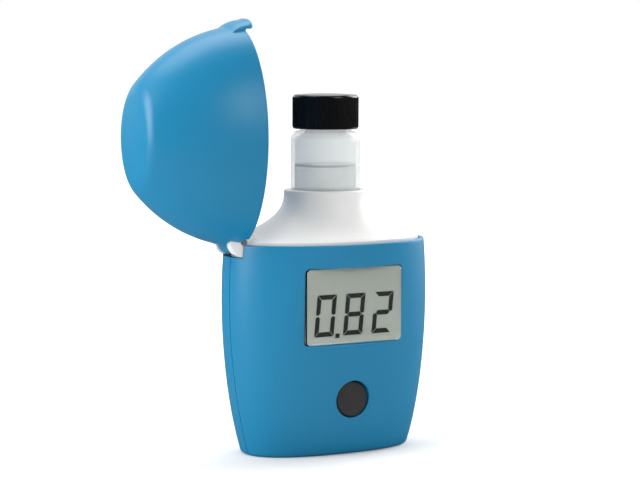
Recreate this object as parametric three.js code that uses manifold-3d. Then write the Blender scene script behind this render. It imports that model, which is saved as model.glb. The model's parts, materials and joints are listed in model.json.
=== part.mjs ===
// Digital water tester: a pocket colorimeter with a hinged lid, a sample vial in a sprung well,
// a liquid-crystal display and one push button. Millimetres, +Z up, the front faces -Y and the
// hinge is on the -X side. The origin is the centre of the base. The lid stands open.
import * as THREE from "three";
import { mergeVertices } from "three/addons/utils/BufferGeometryUtils.js";
import Module from "manifold-3d";

// ---- Case: a flattened barrel ----
const SIDE_ROOM = 4.95; // from the battery holder out to the wall, at the widest level
const WIDEST_Z = 42;
const SIDE_ARC_RADIUS = 160;
const DEPTH_GROWTH = 0.06; // half depth gained per millimetre of height
const FOOT_TUCK = 3.4;
const FOOT_TUCK_HEIGHT = 6;
const RIM_Z = 56.2;
const CASE_WALL = 1.8;
const CASE_FLOOR = 2.0;
const BASE_EDGE_RADIUS = 0.9;
const BASE_EXPONENT = 2.4; // the plan is squarer at the base than at the rim
const RIM_EXPONENT = 2.0;
const PARTING_Y = -1.5;
const PARTING_GAP = 0.3;
const FIT = 0.3; // clearance between neighbouring mouldings
const TOUCH = 0.05; // clearance between pieces that rest on each other

// ---- Rim and collar frame ----
const RIM_LIP_WALL = 1.2;
const LEDGE_DEPTH = 2.0;
const FLANGE_RISE = 0.8; // flange top above the case rim
const COLLAR_RISE = 13.4; // collar top above the case rim
const COLLAR_WALL = 1.5;
const COLLAR_EDGE_RADIUS = 0.5;
const FLARE_POWER = 2.6;

// ---- Lid ----
const LID_HEIGHT = 29.6;
const LID_WALL = 1.2;
const LID_GAP = 0.25; // between the case rim and the closed lid
const LID_WIDTH_ARC = 41.83;
const LID_WIDTH_ARC_DROP = 3.87; // the arc's centre lies this far below the rim
const LID_DEPTH_ARC = 49.9;
const LID_CREASE = 0.8;
const LIP_HALF_WIDTH = 5.5;
const LIP_THICKNESS = 1.05;
const LIP_TAPER = 3.4; // the lip runs out into the dome within its reach up
const LIP_REACH_DOWN = 2.4;
const LIP_REACH_UP = 3.8;

// ---- Hinge ----
const PIVOT_INSET = 1.65; // from the rim's end to the pin's axis
const PIVOT_RISE = 0.75; // above the case rim
const EAR_RADIUS = 3.9;
const EAR_INNER_Y = 3.2;
const EAR_OUTER_Y = 5.5;
const KNUCKLE_RADIUS = 3.6;
const PIN_RADIUS = 0.9;
const PIN_CLEARANCE = 0.08;
const TROUGH_WALL = 1.3;
const TROUGH_REACH = 6; // from the pin's axis towards the collar

// ---- Vial ----
const VIAL_RADIUS = 9.2;
const VIAL_WALL = 1.1;
const VIAL_FLOOR = 1.5;
const VIAL_BODY_HEIGHT = 57.2; // to the start of the shoulder
const SHOULDER_RISE = 2.2;
const SHOULDER_STEP = 2.6; // from the vial's side in to its neck
const NECK_WALL = 1.2;
const NECK_HEIGHT = 6.8;
const SAMPLE_HEIGHT = 48.5; // 10 ml
const THREAD_PITCH = 3;
const THREAD_DEPTH = 0.6;
const THREAD_WIDTH = 0.9;
const THREAD_TURNS = 1.25;
const THREAD_START = 0.08; // radians
const CAP_STEP = 0.4; // from the vial's side in to the cap's side
const CAP_HEIGHT = 9.05;
const CAP_TOP_WALL = 1.6;
const CAP_BEVEL = 0.5;
const CAP_LIFT_OFF = 0.7; // gap between the shoulder and the cap's skirt
const STOPPER_THICKNESS = 0.9;
const STOPPER_PLUG = 1.4;

// ---- Well, seat and optics ----
const WELL_WALL = 1.1;
const SEAT_TRAVEL = 10.3;
const SEAT_THICKNESS = 1.5;
const SEAT_RIM = 0.9;
const LID_PRESS_CLEARANCE = 0.4;
const WELL_FLOOR = 1.2;
const SPRING_RADIUS = 4.2;
const SPRING_WIRE = 0.35; // wire radius
const SPRING_TURNS = 6;
const CUP_WALL = 1.0;
const OPTICS_Z = 25;
const LIGHT_HOLE = 1.7;
const LAMP_BASE = 2.4;
const LAMP_BASE_HEIGHT = 0.6;
const LAMP_HEIGHT = 1.2;
const OPTICS_BORE = 3.2;
const OPTICS_BOSS = 4.2;
const OPTICS_DEPTH = 2.7;
const OPTICS_ROOM = 2.6; // from the well out to the wall, extrapolated to the base
const DETECTOR_BOARD_THICKNESS = 0.5;
const DETECTOR_BOARD_HALF = 4.8;
const FILTER_THICKNESS = 1.2;
const DIODE_THICKNESS = 1.3;
const SEAL_CORD = 0.5; // cord radius
const SEAL_DROP = 3.2; // below the collar top

// ---- Board, display and button ----
const BOARD_THICKNESS = 1.0;
const BOARD_HALF_WIDTH = 16.6;
const BOARD_LOW_Z = 9.5;
const BOARD_TOP_DROP = 4.2; // below the case rim
const DISPLAY_Z = 40.1;
const DISPLAY_HALF_WIDTH = 14.4;
const DISPLAY_HALF_HEIGHT = 10.06;
const DISPLAY_CORNER = 1.1;
const LENS_THICKNESS = 1.4;
const STRIP_GAP = 1.45; // between the board and the crystal panel
const LENS_ROUND = 0.9;
const PANEL_THICKNESS = 1.8;
const CONTACT_STRIP_DEPTH = 1.1;
const CONTACT_STRIP_HEIGHT = 1.5;
const STRIP_FRAME_WALL = 0.8;
const BUTTON_Z = 15.2;
const BUTTON_HOLE_RADIUS = 4.95;
const BUTTON_RECESS = 0.7;
const BUTTON_TRAVEL = 0.6;
const BUTTON_FLANGE = 0.7; // thickness of the flange behind the wall
const BUTTON_FLANGE_LAP = 0.9;
const SWITCH_SIZE = 5.2;
const CHIP_SIZE = 7;
const CHIP_HEIGHT = 1.2;
const CHIP_X = -12;
const CHIP_Z = 39.5;
const BOARD_SCREW_X = 13;
const BOARD_SCREW_Z = 26;

// ---- Battery ----
const BATTERY_RADIUS = 5.25;
const BATTERY_LENGTH = 44.5;
const BATTERY_NUB_RADIUS = 1.9;
const BATTERY_NUB = 0.8;
const BATTERY_BASE_Z = 4.6;
const HOLDER_WALL = 0.8;
const HOLDER_CAP = 1.0;
const CONTACT_THICKNESS = 0.4;
const COVER_THICKNESS = 1.5;
const COVER_RECESS = 0.3;
const COVER_HALF_DEPTH = 6.3;
const COVER_LEFT_X = 5.4;
const COVER_CORNER_FLAT = 1.2; // straight part left on the cover's short sides
const COVER_POST_HEIGHT = 6;

// ---- Screws ----
const SCREW_SHANK = 0.9;
const SCREW_HEAD = 1.9;
const SCREW_HEAD_HEIGHT = 1.3;
const SCREW_SLOT = 0.5;
const CASE_BOSS = 2.9;
const COVER_SCREW_POST = 1.9;
const COVER_SCREW_LENGTH = 5;
const COVER_SCREW_HEAD_HEIGHT = 0.8;
const BOARD_BOSS = 1.7;
const BOARD_SCREW_LENGTH = 2.3;
const BOARD_SCREW_HEAD_HEIGHT = 1;
const BOSS_REACH = 1.6; // the thread's start inside a boss, past the screw's end

// ---- Facets ----
const PLAN_SEGMENTS = 40;
const ROUND_SEGMENTS = 28;
const SMALL_SEGMENTS = 12;
const HOLLOW_LEVELS = 4;

// ---- Sizes worked out from the ones above ----
const wellRadius = VIAL_RADIUS + FIT;
const wellOuterRadius = wellRadius + WELL_WALL;
const collarRadius = wellRadius + COLLAR_WALL;
const neckRadius = VIAL_RADIUS - SHOULDER_STEP;
const capRadius = VIAL_RADIUS - CAP_STEP;
const boardBackY = -(wellOuterRadius + FIT);
const boardFrontY = boardBackY - BOARD_THICKNESS;
const panelBackY = boardFrontY - STRIP_GAP;
const panelFrontY = panelBackY - PANEL_THICKNESS;
const lensBackY = panelFrontY - TOUCH;
const lensFrontY = lensBackY - LENS_THICKNESS;
const batteryX = wellOuterRadius + BATTERY_RADIUS + 1.5 * FIT;
const holderRadius = BATTERY_RADIUS + FIT + HOLDER_WALL;
const widestHalfWidth = batteryX + holderRadius + SIDE_ROOM + CASE_WALL;
const baseHalfDepth = wellOuterRadius + OPTICS_ROOM + CASE_WALL; // before the foot is tucked in
const rimHalfWidth = caseHalfWidth(RIM_Z);
const rimHalfDepth = caseHalfDepth(RIM_Z);
const flangeTopZ = RIM_Z + FLANGE_RISE;
const ledgeZ = RIM_Z - LEDGE_DEPTH;
const collarTopZ = RIM_Z + COLLAR_RISE;
const flangeInset = RIM_LIP_WALL + FIT;
const pivotX = -(rimHalfWidth - PIVOT_INSET);
const pivotZ = RIM_Z + PIVOT_RISE;
const lidBaseZ = RIM_Z + LID_GAP;
const lidCeilingZ = lidBaseZ + LID_HEIGHT - LID_WALL;
const sealRadius = wellRadius + SEAL_CORD * 0.85; // the cord stands a little proud of the bore
const sealZ = collarTopZ - SEAL_DROP;
const neckBaseHeight = VIAL_BODY_HEIGHT + SHOULDER_RISE;
const capBaseHeight = neckBaseHeight + CAP_LIFT_OFF;
const vialBaseZ = lidCeilingZ - LID_PRESS_CLEARANCE - capBaseHeight - CAP_HEIGHT + SEAT_TRAVEL;
const seatTopZ = vialBaseZ - TOUCH;
const wellFloorZ = seatTopZ - SEAT_THICKNESS - SEAT_TRAVEL - FIT;
const buttonFrontY = -caseHalfDepth(BUTTON_Z) + BUTTON_RECESS;
const buttonFlangeFrontY = -caseHalfDepth(BUTTON_Z) + CASE_WALL + FIT / 3;
const buttonFlangeRadius = BUTTON_HOLE_RADIUS + BUTTON_FLANGE_LAP;
const buttonBackY = buttonFlangeFrontY + BUTTON_FLANGE;
const switchFrontY = buttonBackY + BUTTON_TRAVEL + TOUCH;
const stripOffsetZ =
  DISPLAY_HALF_HEIGHT - FIT - STRIP_FRAME_WALL - TOUCH - CONTACT_STRIP_HEIGHT / 2;
const partingFrontY = PARTING_Y - PARTING_GAP / 2;
const partingBackY = PARTING_Y + PARTING_GAP / 2;
const batteryTopZ = BATTERY_BASE_Z + BATTERY_LENGTH;
const coverRightX = batteryX + BATTERY_RADIUS + 2 * FIT;
const coverScrewX = batteryX - holderRadius - COVER_SCREW_POST + HOLDER_WALL * 0.75;

const boardScrewsX = [-BOARD_SCREW_X, BOARD_SCREW_X];
const caseScrews = [
  { x: -20, z: 12, seatY: 6.8, endY: -9 },
  { x: -20, z: 46, seatY: 8.6, endY: -9 },
  { x: batteryX, z: 12, seatY: 9.2, endY: holderRadius + TOUCH * 4 },
  { x: batteryX, z: 42, seatY: 10.2, endY: holderRadius + TOUCH * 4 },
];

// ---- Finishes ----
function finish(color, roughness, metalness = 0) {
  return new THREE.MeshStandardMaterial({ color, roughness, metalness });
}
const bluePlastic = finish(0x1d86b8, 0.35);
const whitePlastic = finish(0xeeeeec, 0.4);
const blackPlastic = finish(0x111113, 0.3);
const darkPlastic = finish(0x2b2b2c, 0.6);
const innerPlastic = finish(0x26282a, 0.7);
const clearPlastic = finish(0xd8e0dc, 0.1);
const glass = finish(0xe4f0ee, 0.05);
const water = finish(0xd5e8ee, 0.05);
const board = finish(0x1f6b3a, 0.5);
const crystal = finish(0xb4bcb2, 0.3);
const rubber = finish(0x3a3a3c, 0.85);
const steel = finish(0xb9bcc0, 0.3, 1);
const brass = finish(0xc9a352, 0.3, 1);
const batteryWrap = finish(0x6c7076, 0.35, 0.6);
const stopperPlastic = finish(0xe6e8e6, 0.4);

const wasm = await Module();
wasm.setup();

// ---- Solids ----

/** A three.js geometry as a solid: vertices merged, collapsed triangles left out, faces outward. */
function solid(geometry) {
  const bare = geometry.clone();
  bare.deleteAttribute("normal");
  bare.deleteAttribute("uv");
  const merged = mergeVertices(bare, 1e-4);
  const place = merged.attributes.position.array;
  const corners = merged.index.array;
  const kept = [];
  let volume = 0;
  for (let i = 0; i < corners.length; i += 3) {
    const [a, b, c] = [corners[i], corners[i + 1], corners[i + 2]];
    if (a === b || b === c || c === a) continue;
    kept.push(a, b, c);
    const [u, v, w] = [a, b, c].map((k) => new THREE.Vector3().fromArray(place, 3 * k));
    volume += u.dot(v.cross(w));
  }
  if (volume < 0) kept.reverse();
  const mesh = new wasm.Mesh({
    numProp: 3,
    vertProperties: Float32Array.from(place),
    triVerts: Uint32Array.from(kept),
  });
  return new wasm.Manifold(mesh);
}

function fuse(...solids) {
  return solids.reduce((whole, piece) => whole.add(piece));
}

function cut(body, ...tools) {
  return tools.reduce((whole, tool) => whole.subtract(tool), body);
}

/** A closed body through rings of equal point count, each ring anticlockwise seen from above. */
function loft(rings) {
  const count = rings[0].length;
  const points = rings.flat();
  const faces = [];
  for (let level = 0; level + 1 < rings.length; level += 1) {
    for (let i = 0; i < count; i += 1) {
      const next = (i + 1) % count;
      const [a, b] = [level * count + i, level * count + next];
      faces.push(a, b, b + count, a, b + count, a + count);
    }
  }
  const last = (rings.length - 1) * count;
  for (let i = 1; i + 1 < count; i += 1) {
    faces.push(0, i + 1, i, last, last + i, last + i + 1);
  }
  const geometry = new THREE.BufferGeometry().setFromPoints(points);
  geometry.setIndex(faces);
  return solid(geometry);
}

/** A superellipse ring at height z. Exponent 2 is an ellipse, and a higher one is squarer. */
function ring(halfWidth, halfDepth, exponent, z) {
  return Array.from({ length: PLAN_SEGMENTS }, (_, i) => {
    const angle = (2 * Math.PI * i) / PLAN_SEGMENTS;
    const [c, s] = [Math.cos(angle), Math.sin(angle)];
    const x = halfWidth * Math.sign(c) * Math.abs(c) ** (2 / exponent);
    const y = halfDepth * Math.sign(s) * Math.abs(s) ** (2 / exponent);
    return new THREE.Vector3(x, y, z);
  });
}

function box([x0, y0, z0], [x1, y1, z1]) {
  const geometry = new THREE.BoxGeometry(x1 - x0, y1 - y0, z1 - z0);
  geometry.translate((x0 + x1) / 2, (y0 + y1) / 2, (z0 + z1) / 2);
  return solid(geometry);
}

/** An upright cylinder about the vertical line through (x, y). */
function post(radius, z0, z1, x = 0, y = 0, segments = ROUND_SEGMENTS) {
  const geometry = new THREE.CylinderGeometry(radius, radius, z1 - z0, segments);
  geometry.rotateX(Math.PI / 2);
  geometry.translate(x, y, (z0 + z1) / 2);
  return solid(geometry);
}

/** A cylinder along Y about the line through (x, z). */
function rod(radius, y0, y1, x, z, segments = ROUND_SEGMENTS) {
  const geometry = new THREE.CylinderGeometry(radius, radius, y1 - y0, segments);
  geometry.translate(x, (y0 + y1) / 2, z);
  return solid(geometry);
}

/** A body of revolution about +Z from [radius, height] points that start and end on the axis. */
function turned(profile, segments = ROUND_SEGMENTS) {
  const points = profile.map(([radius, height]) => new THREE.Vector2(radius, height));
  const geometry = new THREE.LatheGeometry(points, segments);
  geometry.rotateX(Math.PI / 2);
  return solid(geometry);
}

function roundedRectangle(halfWidth, halfHeight, corner) {
  const shape = new THREE.Shape();
  const [x, y] = [halfWidth - corner, halfHeight - corner];
  shape.absarc(x, y, corner, 0, Math.PI / 2);
  shape.absarc(-x, y, corner, Math.PI / 2, Math.PI);
  shape.absarc(-x, -y, corner, Math.PI, 1.5 * Math.PI);
  shape.absarc(x, -y, corner, 1.5 * Math.PI, 2 * Math.PI);
  shape.closePath();
  return shape;
}

/** A rounded rectangle facing the front, between frontY and backY, centred on (x, z). */
function facePlate(halfWidth, halfHeight, corner, frontY, backY, x, z, round = 0) {
  const geometry = new THREE.ExtrudeGeometry(
    roundedRectangle(halfWidth - round, halfHeight - round, Math.max(corner - round, 0.2)),
    {
      depth: backY - frontY - round,
      bevelEnabled: round > 0,
      bevelSize: round,
      bevelThickness: round,
      bevelSegments: 2,
      curveSegments: 3,
    },
  );
  geometry.rotateX(Math.PI / 2);
  geometry.translate(x, backY, z);
  return round > 0 ? cut(solid(geometry), facing(backY, backY + 2 * round)) : solid(geometry);
}

/** A slab wider than the whole tester between two values of y. */
function facing(y0, y1) {
  const reach = 4 * widestHalfWidth;
  return box([-reach, y0, -reach], [reach, y1, reach]);
}

/** A helical ridge about +Z. Its inner side is sunk into the wall by `root`. */
function helixRidge(wallRadius, crestRadius, root, width, pitch, turns, z0) {
  const steps = Math.round(turns * ROUND_SEGMENTS * 0.6);
  const outward = Math.sign(crestRadius - wallRadius);
  const section = [
    [wallRadius - outward * root, -width * 0.75],
    [crestRadius, -width * 0.25],
    [crestRadius, width * 0.25],
    [wallRadius - outward * root, width * 0.75],
  ];
  const rings = Array.from({ length: steps + 1 }, (_, i) => {
    const angle = THREAD_START + (2 * Math.PI * turns * i) / steps;
    const lift = z0 + (pitch * turns * i) / steps;
    return section.map(
      ([radius, z]) => new THREE.Vector3(radius * Math.cos(angle), radius * Math.sin(angle), z + lift),
    );
  });
  return loft(rings);
}

// ---- Outlines ----

function caseHalfWidth(z) {
  return widestHalfWidth - (z - WIDEST_Z) ** 2 / (2 * SIDE_ARC_RADIUS);
}

function caseHalfDepth(z) {
  return baseHalfDepth + DEPTH_GROWTH * z - FOOT_TUCK * Math.exp(-z / FOOT_TUCK_HEIGHT);
}

function caseExponent(z) {
  return BASE_EXPONENT + ((RIM_EXPONENT - BASE_EXPONENT) * z) / RIM_Z;
}

function caseRing(z, inset = 0) {
  return ring(caseHalfWidth(z) - inset, caseHalfDepth(z) - inset, caseExponent(z), z);
}

/** The case outline between two heights, moved inward by `inset`. */
function caseBody(z0, z1, inset = 0, levels = 8) {
  return loft(
    Array.from({ length: levels + 1 }, (_, i) => caseRing(z0 + ((z1 - z0) * i) / levels, inset)),
  );
}

/** Half width and half depth of the lid at a height above its rim. */
function lidHalfSizes(height) {
  const chord = (radius, up) => Math.sqrt(radius ** 2 - up ** 2);
  const widthLoss =
    chord(LID_WIDTH_ARC, LID_WIDTH_ARC_DROP) - chord(LID_WIDTH_ARC, height + LID_WIDTH_ARC_DROP);
  const depthLoss = LID_DEPTH_ARC - chord(LID_DEPTH_ARC, height);
  return [rimHalfWidth - widthLoss, rimHalfDepth - depthLoss];
}

/** The closed lid's outline from its rim up, moved inward by `inset`. */
function lidBody(z0, top, inset, levels) {
  const rings = Array.from({ length: levels + 1 }, (_, i) => {
    const height = ((top - LID_CREASE / 2) * i) / levels;
    const [halfWidth, halfDepth] = lidHalfSizes(height);
    const z = i === 0 ? z0 : lidBaseZ + height;
    return ring(halfWidth - inset, halfDepth - inset, RIM_EXPONENT, z);
  });
  const [halfWidth, halfDepth] = lidHalfSizes(top);
  const topInset = inset + LID_CREASE;
  rings.push(ring(halfWidth - topInset, halfDepth - topInset, RIM_EXPONENT, lidBaseZ + top));
  return loft(rings);
}

/** The flared collar from its flange's edge up to its round top, moved inward by `inset`. */
function collarBody(inset, floorZ) {
  const levels = 6;
  const [wide, deep] = [rimHalfWidth - flangeInset, rimHalfDepth - flangeInset];
  const shoulderZ = collarTopZ - COLLAR_EDGE_RADIUS;
  const rings = [ring(wide - inset, deep - inset, RIM_EXPONENT, floorZ)];
  for (let i = 0; i <= levels; i += 1) {
    const rise = i / levels;
    const flare = (1 - rise) ** FLARE_POWER;
    const halfWidth = collarRadius + (wide - collarRadius) * flare - inset;
    const halfDepth = collarRadius + (deep - collarRadius) * flare - inset;
    const z = flangeTopZ + rise * (shoulderZ - flangeTopZ) - inset;
    rings.push(ring(halfWidth, halfDepth, RIM_EXPONENT, z));
  }
  for (let i = 1; i <= 2; i += 1) {
    const angle = (Math.PI / 2) * (i / 2);
    const radius = collarRadius - COLLAR_EDGE_RADIUS * (1 - Math.cos(angle)) - inset;
    const z = shoulderZ + COLLAR_EDGE_RADIUS * Math.sin(angle) - inset;
    rings.push(ring(radius, radius, RIM_EXPONENT, z));
  }
  return loft(rings);
}

// ---- Case shells ----

function pinZone(radius, halfLength) {
  return rod(radius, -halfLength, halfLength, pivotX, pivotZ);
}

/** The whole case before it is parted: an open barrel with a ledge inside its rim. */
function caseBarrel() {
  const edge = Array.from({ length: 3 }, (_, i) => {
    const angle = (Math.PI / 2) * (i / 3);
    const inset = BASE_EDGE_RADIUS * (1 - Math.sin(angle));
    return caseRing(BASE_EDGE_RADIUS * (1 - Math.cos(angle)), inset);
  });
  const levels = 6;
  const sides = Array.from({ length: levels + 1 }, (_, i) =>
    caseRing(BASE_EDGE_RADIUS + ((RIM_Z - BASE_EDGE_RADIUS) * i) / levels),
  );
  const hollow = caseBody(CASE_FLOOR, RIM_Z + 1, CASE_WALL, HOLLOW_LEVELS);
  const rimHollow = caseBody(ledgeZ, RIM_Z + 1, RIM_LIP_WALL, 2);
  const notch = box(
    [-2 * widestHalfWidth, -EAR_OUTER_Y - FIT, pivotZ - EAR_RADIUS - FIT],
    [pivotX + TROUGH_REACH, EAR_OUTER_Y + FIT, RIM_Z + 2],
  );
  return cut(loft([...edge, ...sides]), hollow, rimHollow, notch, coverOpening());
}

/** The room inside the case, less a clearance. */
function insideOfCase() {
  return caseBody(CASE_FLOOR, RIM_Z + 1, CASE_WALL + FIT, HOLLOW_LEVELS);
}

/** The outline of the battery cover, grown by `grow`, between two heights. */
function coverOutline(grow, z0, z1) {
  const halfWidth = (coverRightX - COVER_LEFT_X) / 2;
  const centreX = (coverRightX + COVER_LEFT_X) / 2;
  const corner = COVER_HALF_DEPTH - COVER_CORNER_FLAT;
  const shape = roundedRectangle(halfWidth + grow, COVER_HALF_DEPTH + grow, corner);
  const geometry = new THREE.ExtrudeGeometry(shape, {
    depth: z1 - z0,
    bevelEnabled: false,
    curveSegments: 6,
  });
  geometry.translate(centreX, 0, z0);
  return solid(geometry);
}

function coverOpening() {
  return coverOutline(FIT, -1, CASE_FLOOR + 1);
}

/** A boss along Y that stays inside the case wall. */
function caseBoss(radius, y0, y1, x, z) {
  const inside = caseBody(CASE_FLOOR / 2, RIM_Z, CASE_WALL / 2, 5);
  return rod(radius, y0, y1, x, z, SMALL_SEGMENTS).intersect(inside);
}

function frontShell() {
  const farFront = -2 * baseHalfDepth;
  const pilot = SCREW_SHANK + TOUCH;
  const frontHalf = caseBarrel().intersect(facing(farFront, partingFrontY));
  const leftScrews = caseScrews.filter((screw) => screw.x < 0);
  const bosses = [
    ...leftScrews.map(({ x, z }) => caseBoss(CASE_BOSS - 0.5, farFront, partingFrontY, x, z)),
    ...boardScrewsX.map((x) => caseBoss(BOARD_BOSS, farFront, boardFrontY - TOUCH, x, BOARD_SCREW_Z)),
  ];
  const pilots = [
    ...leftScrews.map(({ x, z, endY }) => rod(pilot, endY - FIT, 0, x, z, SMALL_SEGMENTS)),
    ...boardScrewsX.map((x) =>
      rod(pilot, boardFrontY - BOSS_REACH, 0, x, BOARD_SCREW_Z, SMALL_SEGMENTS),
    ),
  ];
  const displayHole = facePlate(
    DISPLAY_HALF_WIDTH,
    DISPLAY_HALF_HEIGHT,
    DISPLAY_CORNER,
    farFront,
    boardFrontY,
    0,
    DISPLAY_Z,
  );
  const buttonHole = fuse(
    rod(BUTTON_HOLE_RADIUS, farFront, boardFrontY, 0, BUTTON_Z),
    rod(buttonFlangeRadius + FIT, buttonFlangeFrontY - FIT / 3, boardFrontY, 0, BUTTON_Z),
  );
  return cut(fuse(frontHalf, ...bosses), ...pilots, displayHole, buttonHole);
}

function rearShell() {
  const farBack = 2 * baseHalfDepth;
  const rearHalf = caseBarrel().intersect(facing(partingBackY, farBack));
  const bosses = caseScrews.map(({ x, z, endY }) => {
    const start = x < 0 ? partingBackY : endY + BOSS_REACH + TOUCH;
    return caseBoss(CASE_BOSS, start, farBack, x, z);
  });
  const holes = caseScrews.flatMap(({ x, z, seatY }) => [
    rod(SCREW_HEAD + FIT / 2, seatY, farBack, x, z, SMALL_SEGMENTS),
    rod(SCREW_SHANK + FIT / 2, -baseHalfDepth, baseHalfDepth, x, z, SMALL_SEGMENTS),
  ]);
  return cut(fuse(rearHalf, ...bosses), ...holes);
}

// ---- Collar frame and hinge ----

function collarFrame() {
  const underside = ledgeZ + TOUCH;
  const block = box(
    [pivotX, -EAR_OUTER_Y, pivotZ - EAR_RADIUS - TROUGH_WALL],
    [pivotX + TROUGH_REACH, EAR_OUTER_Y, flangeTopZ],
  );
  const blockInCase = block.intersect(insideOfCase());
  const ears = cut(pinZone(EAR_RADIUS, EAR_OUTER_Y), facing(-EAR_INNER_Y, EAR_INNER_Y));
  const grooveHalf = SEAL_CORD * 1.2;
  const groove = post(sealRadius + SEAL_CORD + FIT / 3, sealZ - grooveHalf, sealZ + grooveHalf);
  const well = post(wellRadius, ledgeZ - 4, collarTopZ + 1);
  const trough = pinZone(EAR_RADIUS + FIT * 0.7, EAR_INNER_Y);
  const shell = cut(collarBody(0, underside), collarBody(COLLAR_WALL, underside - 1));
  const pinHole = pinZone(PIN_RADIUS + PIN_CLEARANCE, EAR_OUTER_Y + 1);
  return cut(fuse(shell, blockInCase, ears), trough, well, groove, pinHole);
}

/** The cord ring in the collar's groove that keeps light out of the well. */
function sealRing() {
  const geometry = new THREE.TorusGeometry(sealRadius, SEAL_CORD, 6, ROUND_SEGMENTS);
  geometry.translate(0, 0, sealZ);
  return solid(geometry);
}

function hingePin() {
  return pinZone(PIN_RADIUS, EAR_OUTER_Y - 0.2);
}

/** The lid as it lies when closed, before it is turned about the pin. */
function closedLid() {
  const levels = 7;
  const dome = lidBody(lidBaseZ, LID_HEIGHT, 0, levels);
  const hollow = lidBody(lidBaseZ - 1, LID_HEIGHT - LID_WALL, LID_WALL, levels);
  const lipZ = RIM_Z - LIP_REACH_DOWN;
  const lipSpan = box(
    [0, -LIP_HALF_WIDTH, lipZ],
    [2 * widestHalfWidth, LIP_HALF_WIDTH, RIM_Z + LIP_REACH_UP],
  );
  const lipOuter = caseSleeve(LIP_THICKNESS + FIT, lipZ);
  const lipInner = caseSleeve(FIT, lipZ - 1);
  const lip = cut(lipOuter.intersect(lipSpan), lipInner.intersect(facingDown(lidBaseZ)), hollow);
  const knuckle = pinZone(KNUCKLE_RADIUS, EAR_INNER_Y - FIT);
  const earRoom = cut(
    pinZone(EAR_RADIUS + FIT, EAR_OUTER_Y + FIT),
    facing(-EAR_INNER_Y + FIT, EAR_INNER_Y - FIT),
  );
  const pinHole = pinZone(PIN_RADIUS + PIN_CLEARANCE, EAR_OUTER_Y);
  return cut(fuse(cut(dome, hollow), lip, knuckle), earRoom, pinHole);
}

/** A straight elliptical sleeve around the rim, `grow` outside it, from z up past the lip. */
function caseSleeve(grow, z) {
  const [wide, deep] = [caseHalfWidth(lidBaseZ - LIP_REACH_DOWN) + grow, rimHalfDepth + grow];
  return loft([
    ring(wide, deep, RIM_EXPONENT, z),
    ring(wide, deep, RIM_EXPONENT, RIM_Z + LIP_REACH_UP / 2),
    ring(wide - LIP_TAPER, deep - LIP_TAPER, RIM_EXPONENT, RIM_Z + LIP_REACH_UP + 1),
  ]);
}

/** All space below a height. */
function facingDown(z) {
  const reach = 4 * widestHalfWidth;
  return box([-reach, -reach, -reach], [reach, reach, z]);
}

// ---- Vial, sample, stopper and cap, each from the vial's own base ----

function vialProfile(radius, throat, floor, top) {
  return [
    [0, floor],
    [radius - 0.8, floor],
    [radius, floor + 0.8],
    [radius, VIAL_BODY_HEIGHT],
    [radius - 0.7, VIAL_BODY_HEIGHT + SHOULDER_RISE * 0.6],
    [(radius + throat) / 2, VIAL_BODY_HEIGHT + SHOULDER_RISE * 0.92],
    [throat, neckBaseHeight],
    [throat, top],
    [0, top],
  ];
}

function glassVial() {
  const top = neckBaseHeight + NECK_HEIGHT;
  const outside = turned(vialProfile(VIAL_RADIUS, neckRadius, 0, top));
  const inside = turned(
    vialProfile(VIAL_RADIUS - VIAL_WALL, neckRadius - NECK_WALL, VIAL_FLOOR, top + 1),
  );
  const thread = helixRidge(
    neckRadius,
    neckRadius + THREAD_DEPTH,
    NECK_WALL / 2,
    THREAD_WIDTH,
    THREAD_PITCH,
    THREAD_TURNS,
    neckBaseHeight + 2,
  );
  return cut(fuse(outside, thread), inside);
}

function waterSample() {
  const radius = VIAL_RADIUS - VIAL_WALL - TOUCH;
  const floor = VIAL_FLOOR + TOUCH;
  return turned([
    [0, floor],
    [radius - 0.8, floor],
    [radius, floor + 0.8],
    [radius, VIAL_FLOOR + SAMPLE_HEIGHT],
    [0, VIAL_FLOOR + SAMPLE_HEIGHT],
  ]);
}

function stopper() {
  const seat = neckBaseHeight + NECK_HEIGHT;
  const plugRadius = neckRadius - NECK_WALL - FIT;
  return turned([
    [0, seat - STOPPER_PLUG],
    [plugRadius, seat - STOPPER_PLUG],
    [plugRadius, seat + TOUCH],
    [neckRadius, seat + TOUCH],
    [neckRadius, seat + TOUCH + STOPPER_THICKNESS],
    [0, seat + TOUCH + STOPPER_THICKNESS],
  ]);
}

function vialCap() {
  const base = capBaseHeight;
  const top = base + CAP_HEIGHT;
  const bore = neckRadius + THREAD_DEPTH + FIT;
  const ceiling = neckBaseHeight + NECK_HEIGHT + STOPPER_THICKNESS + 2 * TOUCH;
  const outside = turned([
    [0, base],
    [capRadius, base],
    [capRadius, top - CAP_BEVEL],
    [capRadius - CAP_BEVEL, top],
    [0, top],
  ]);
  const thread = helixRidge(
    bore,
    neckRadius + FIT,
    (capRadius - bore) / 2,
    THREAD_WIDTH * 0.8,
    THREAD_PITCH,
    THREAD_TURNS,
    neckBaseHeight + 2 - THREAD_PITCH / 2 + THREAD_PITCH,
  );
  return fuse(cut(outside, post(bore, base - 1, ceiling)), thread);
}

// ---- Well, seat, spring and optics ----

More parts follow.
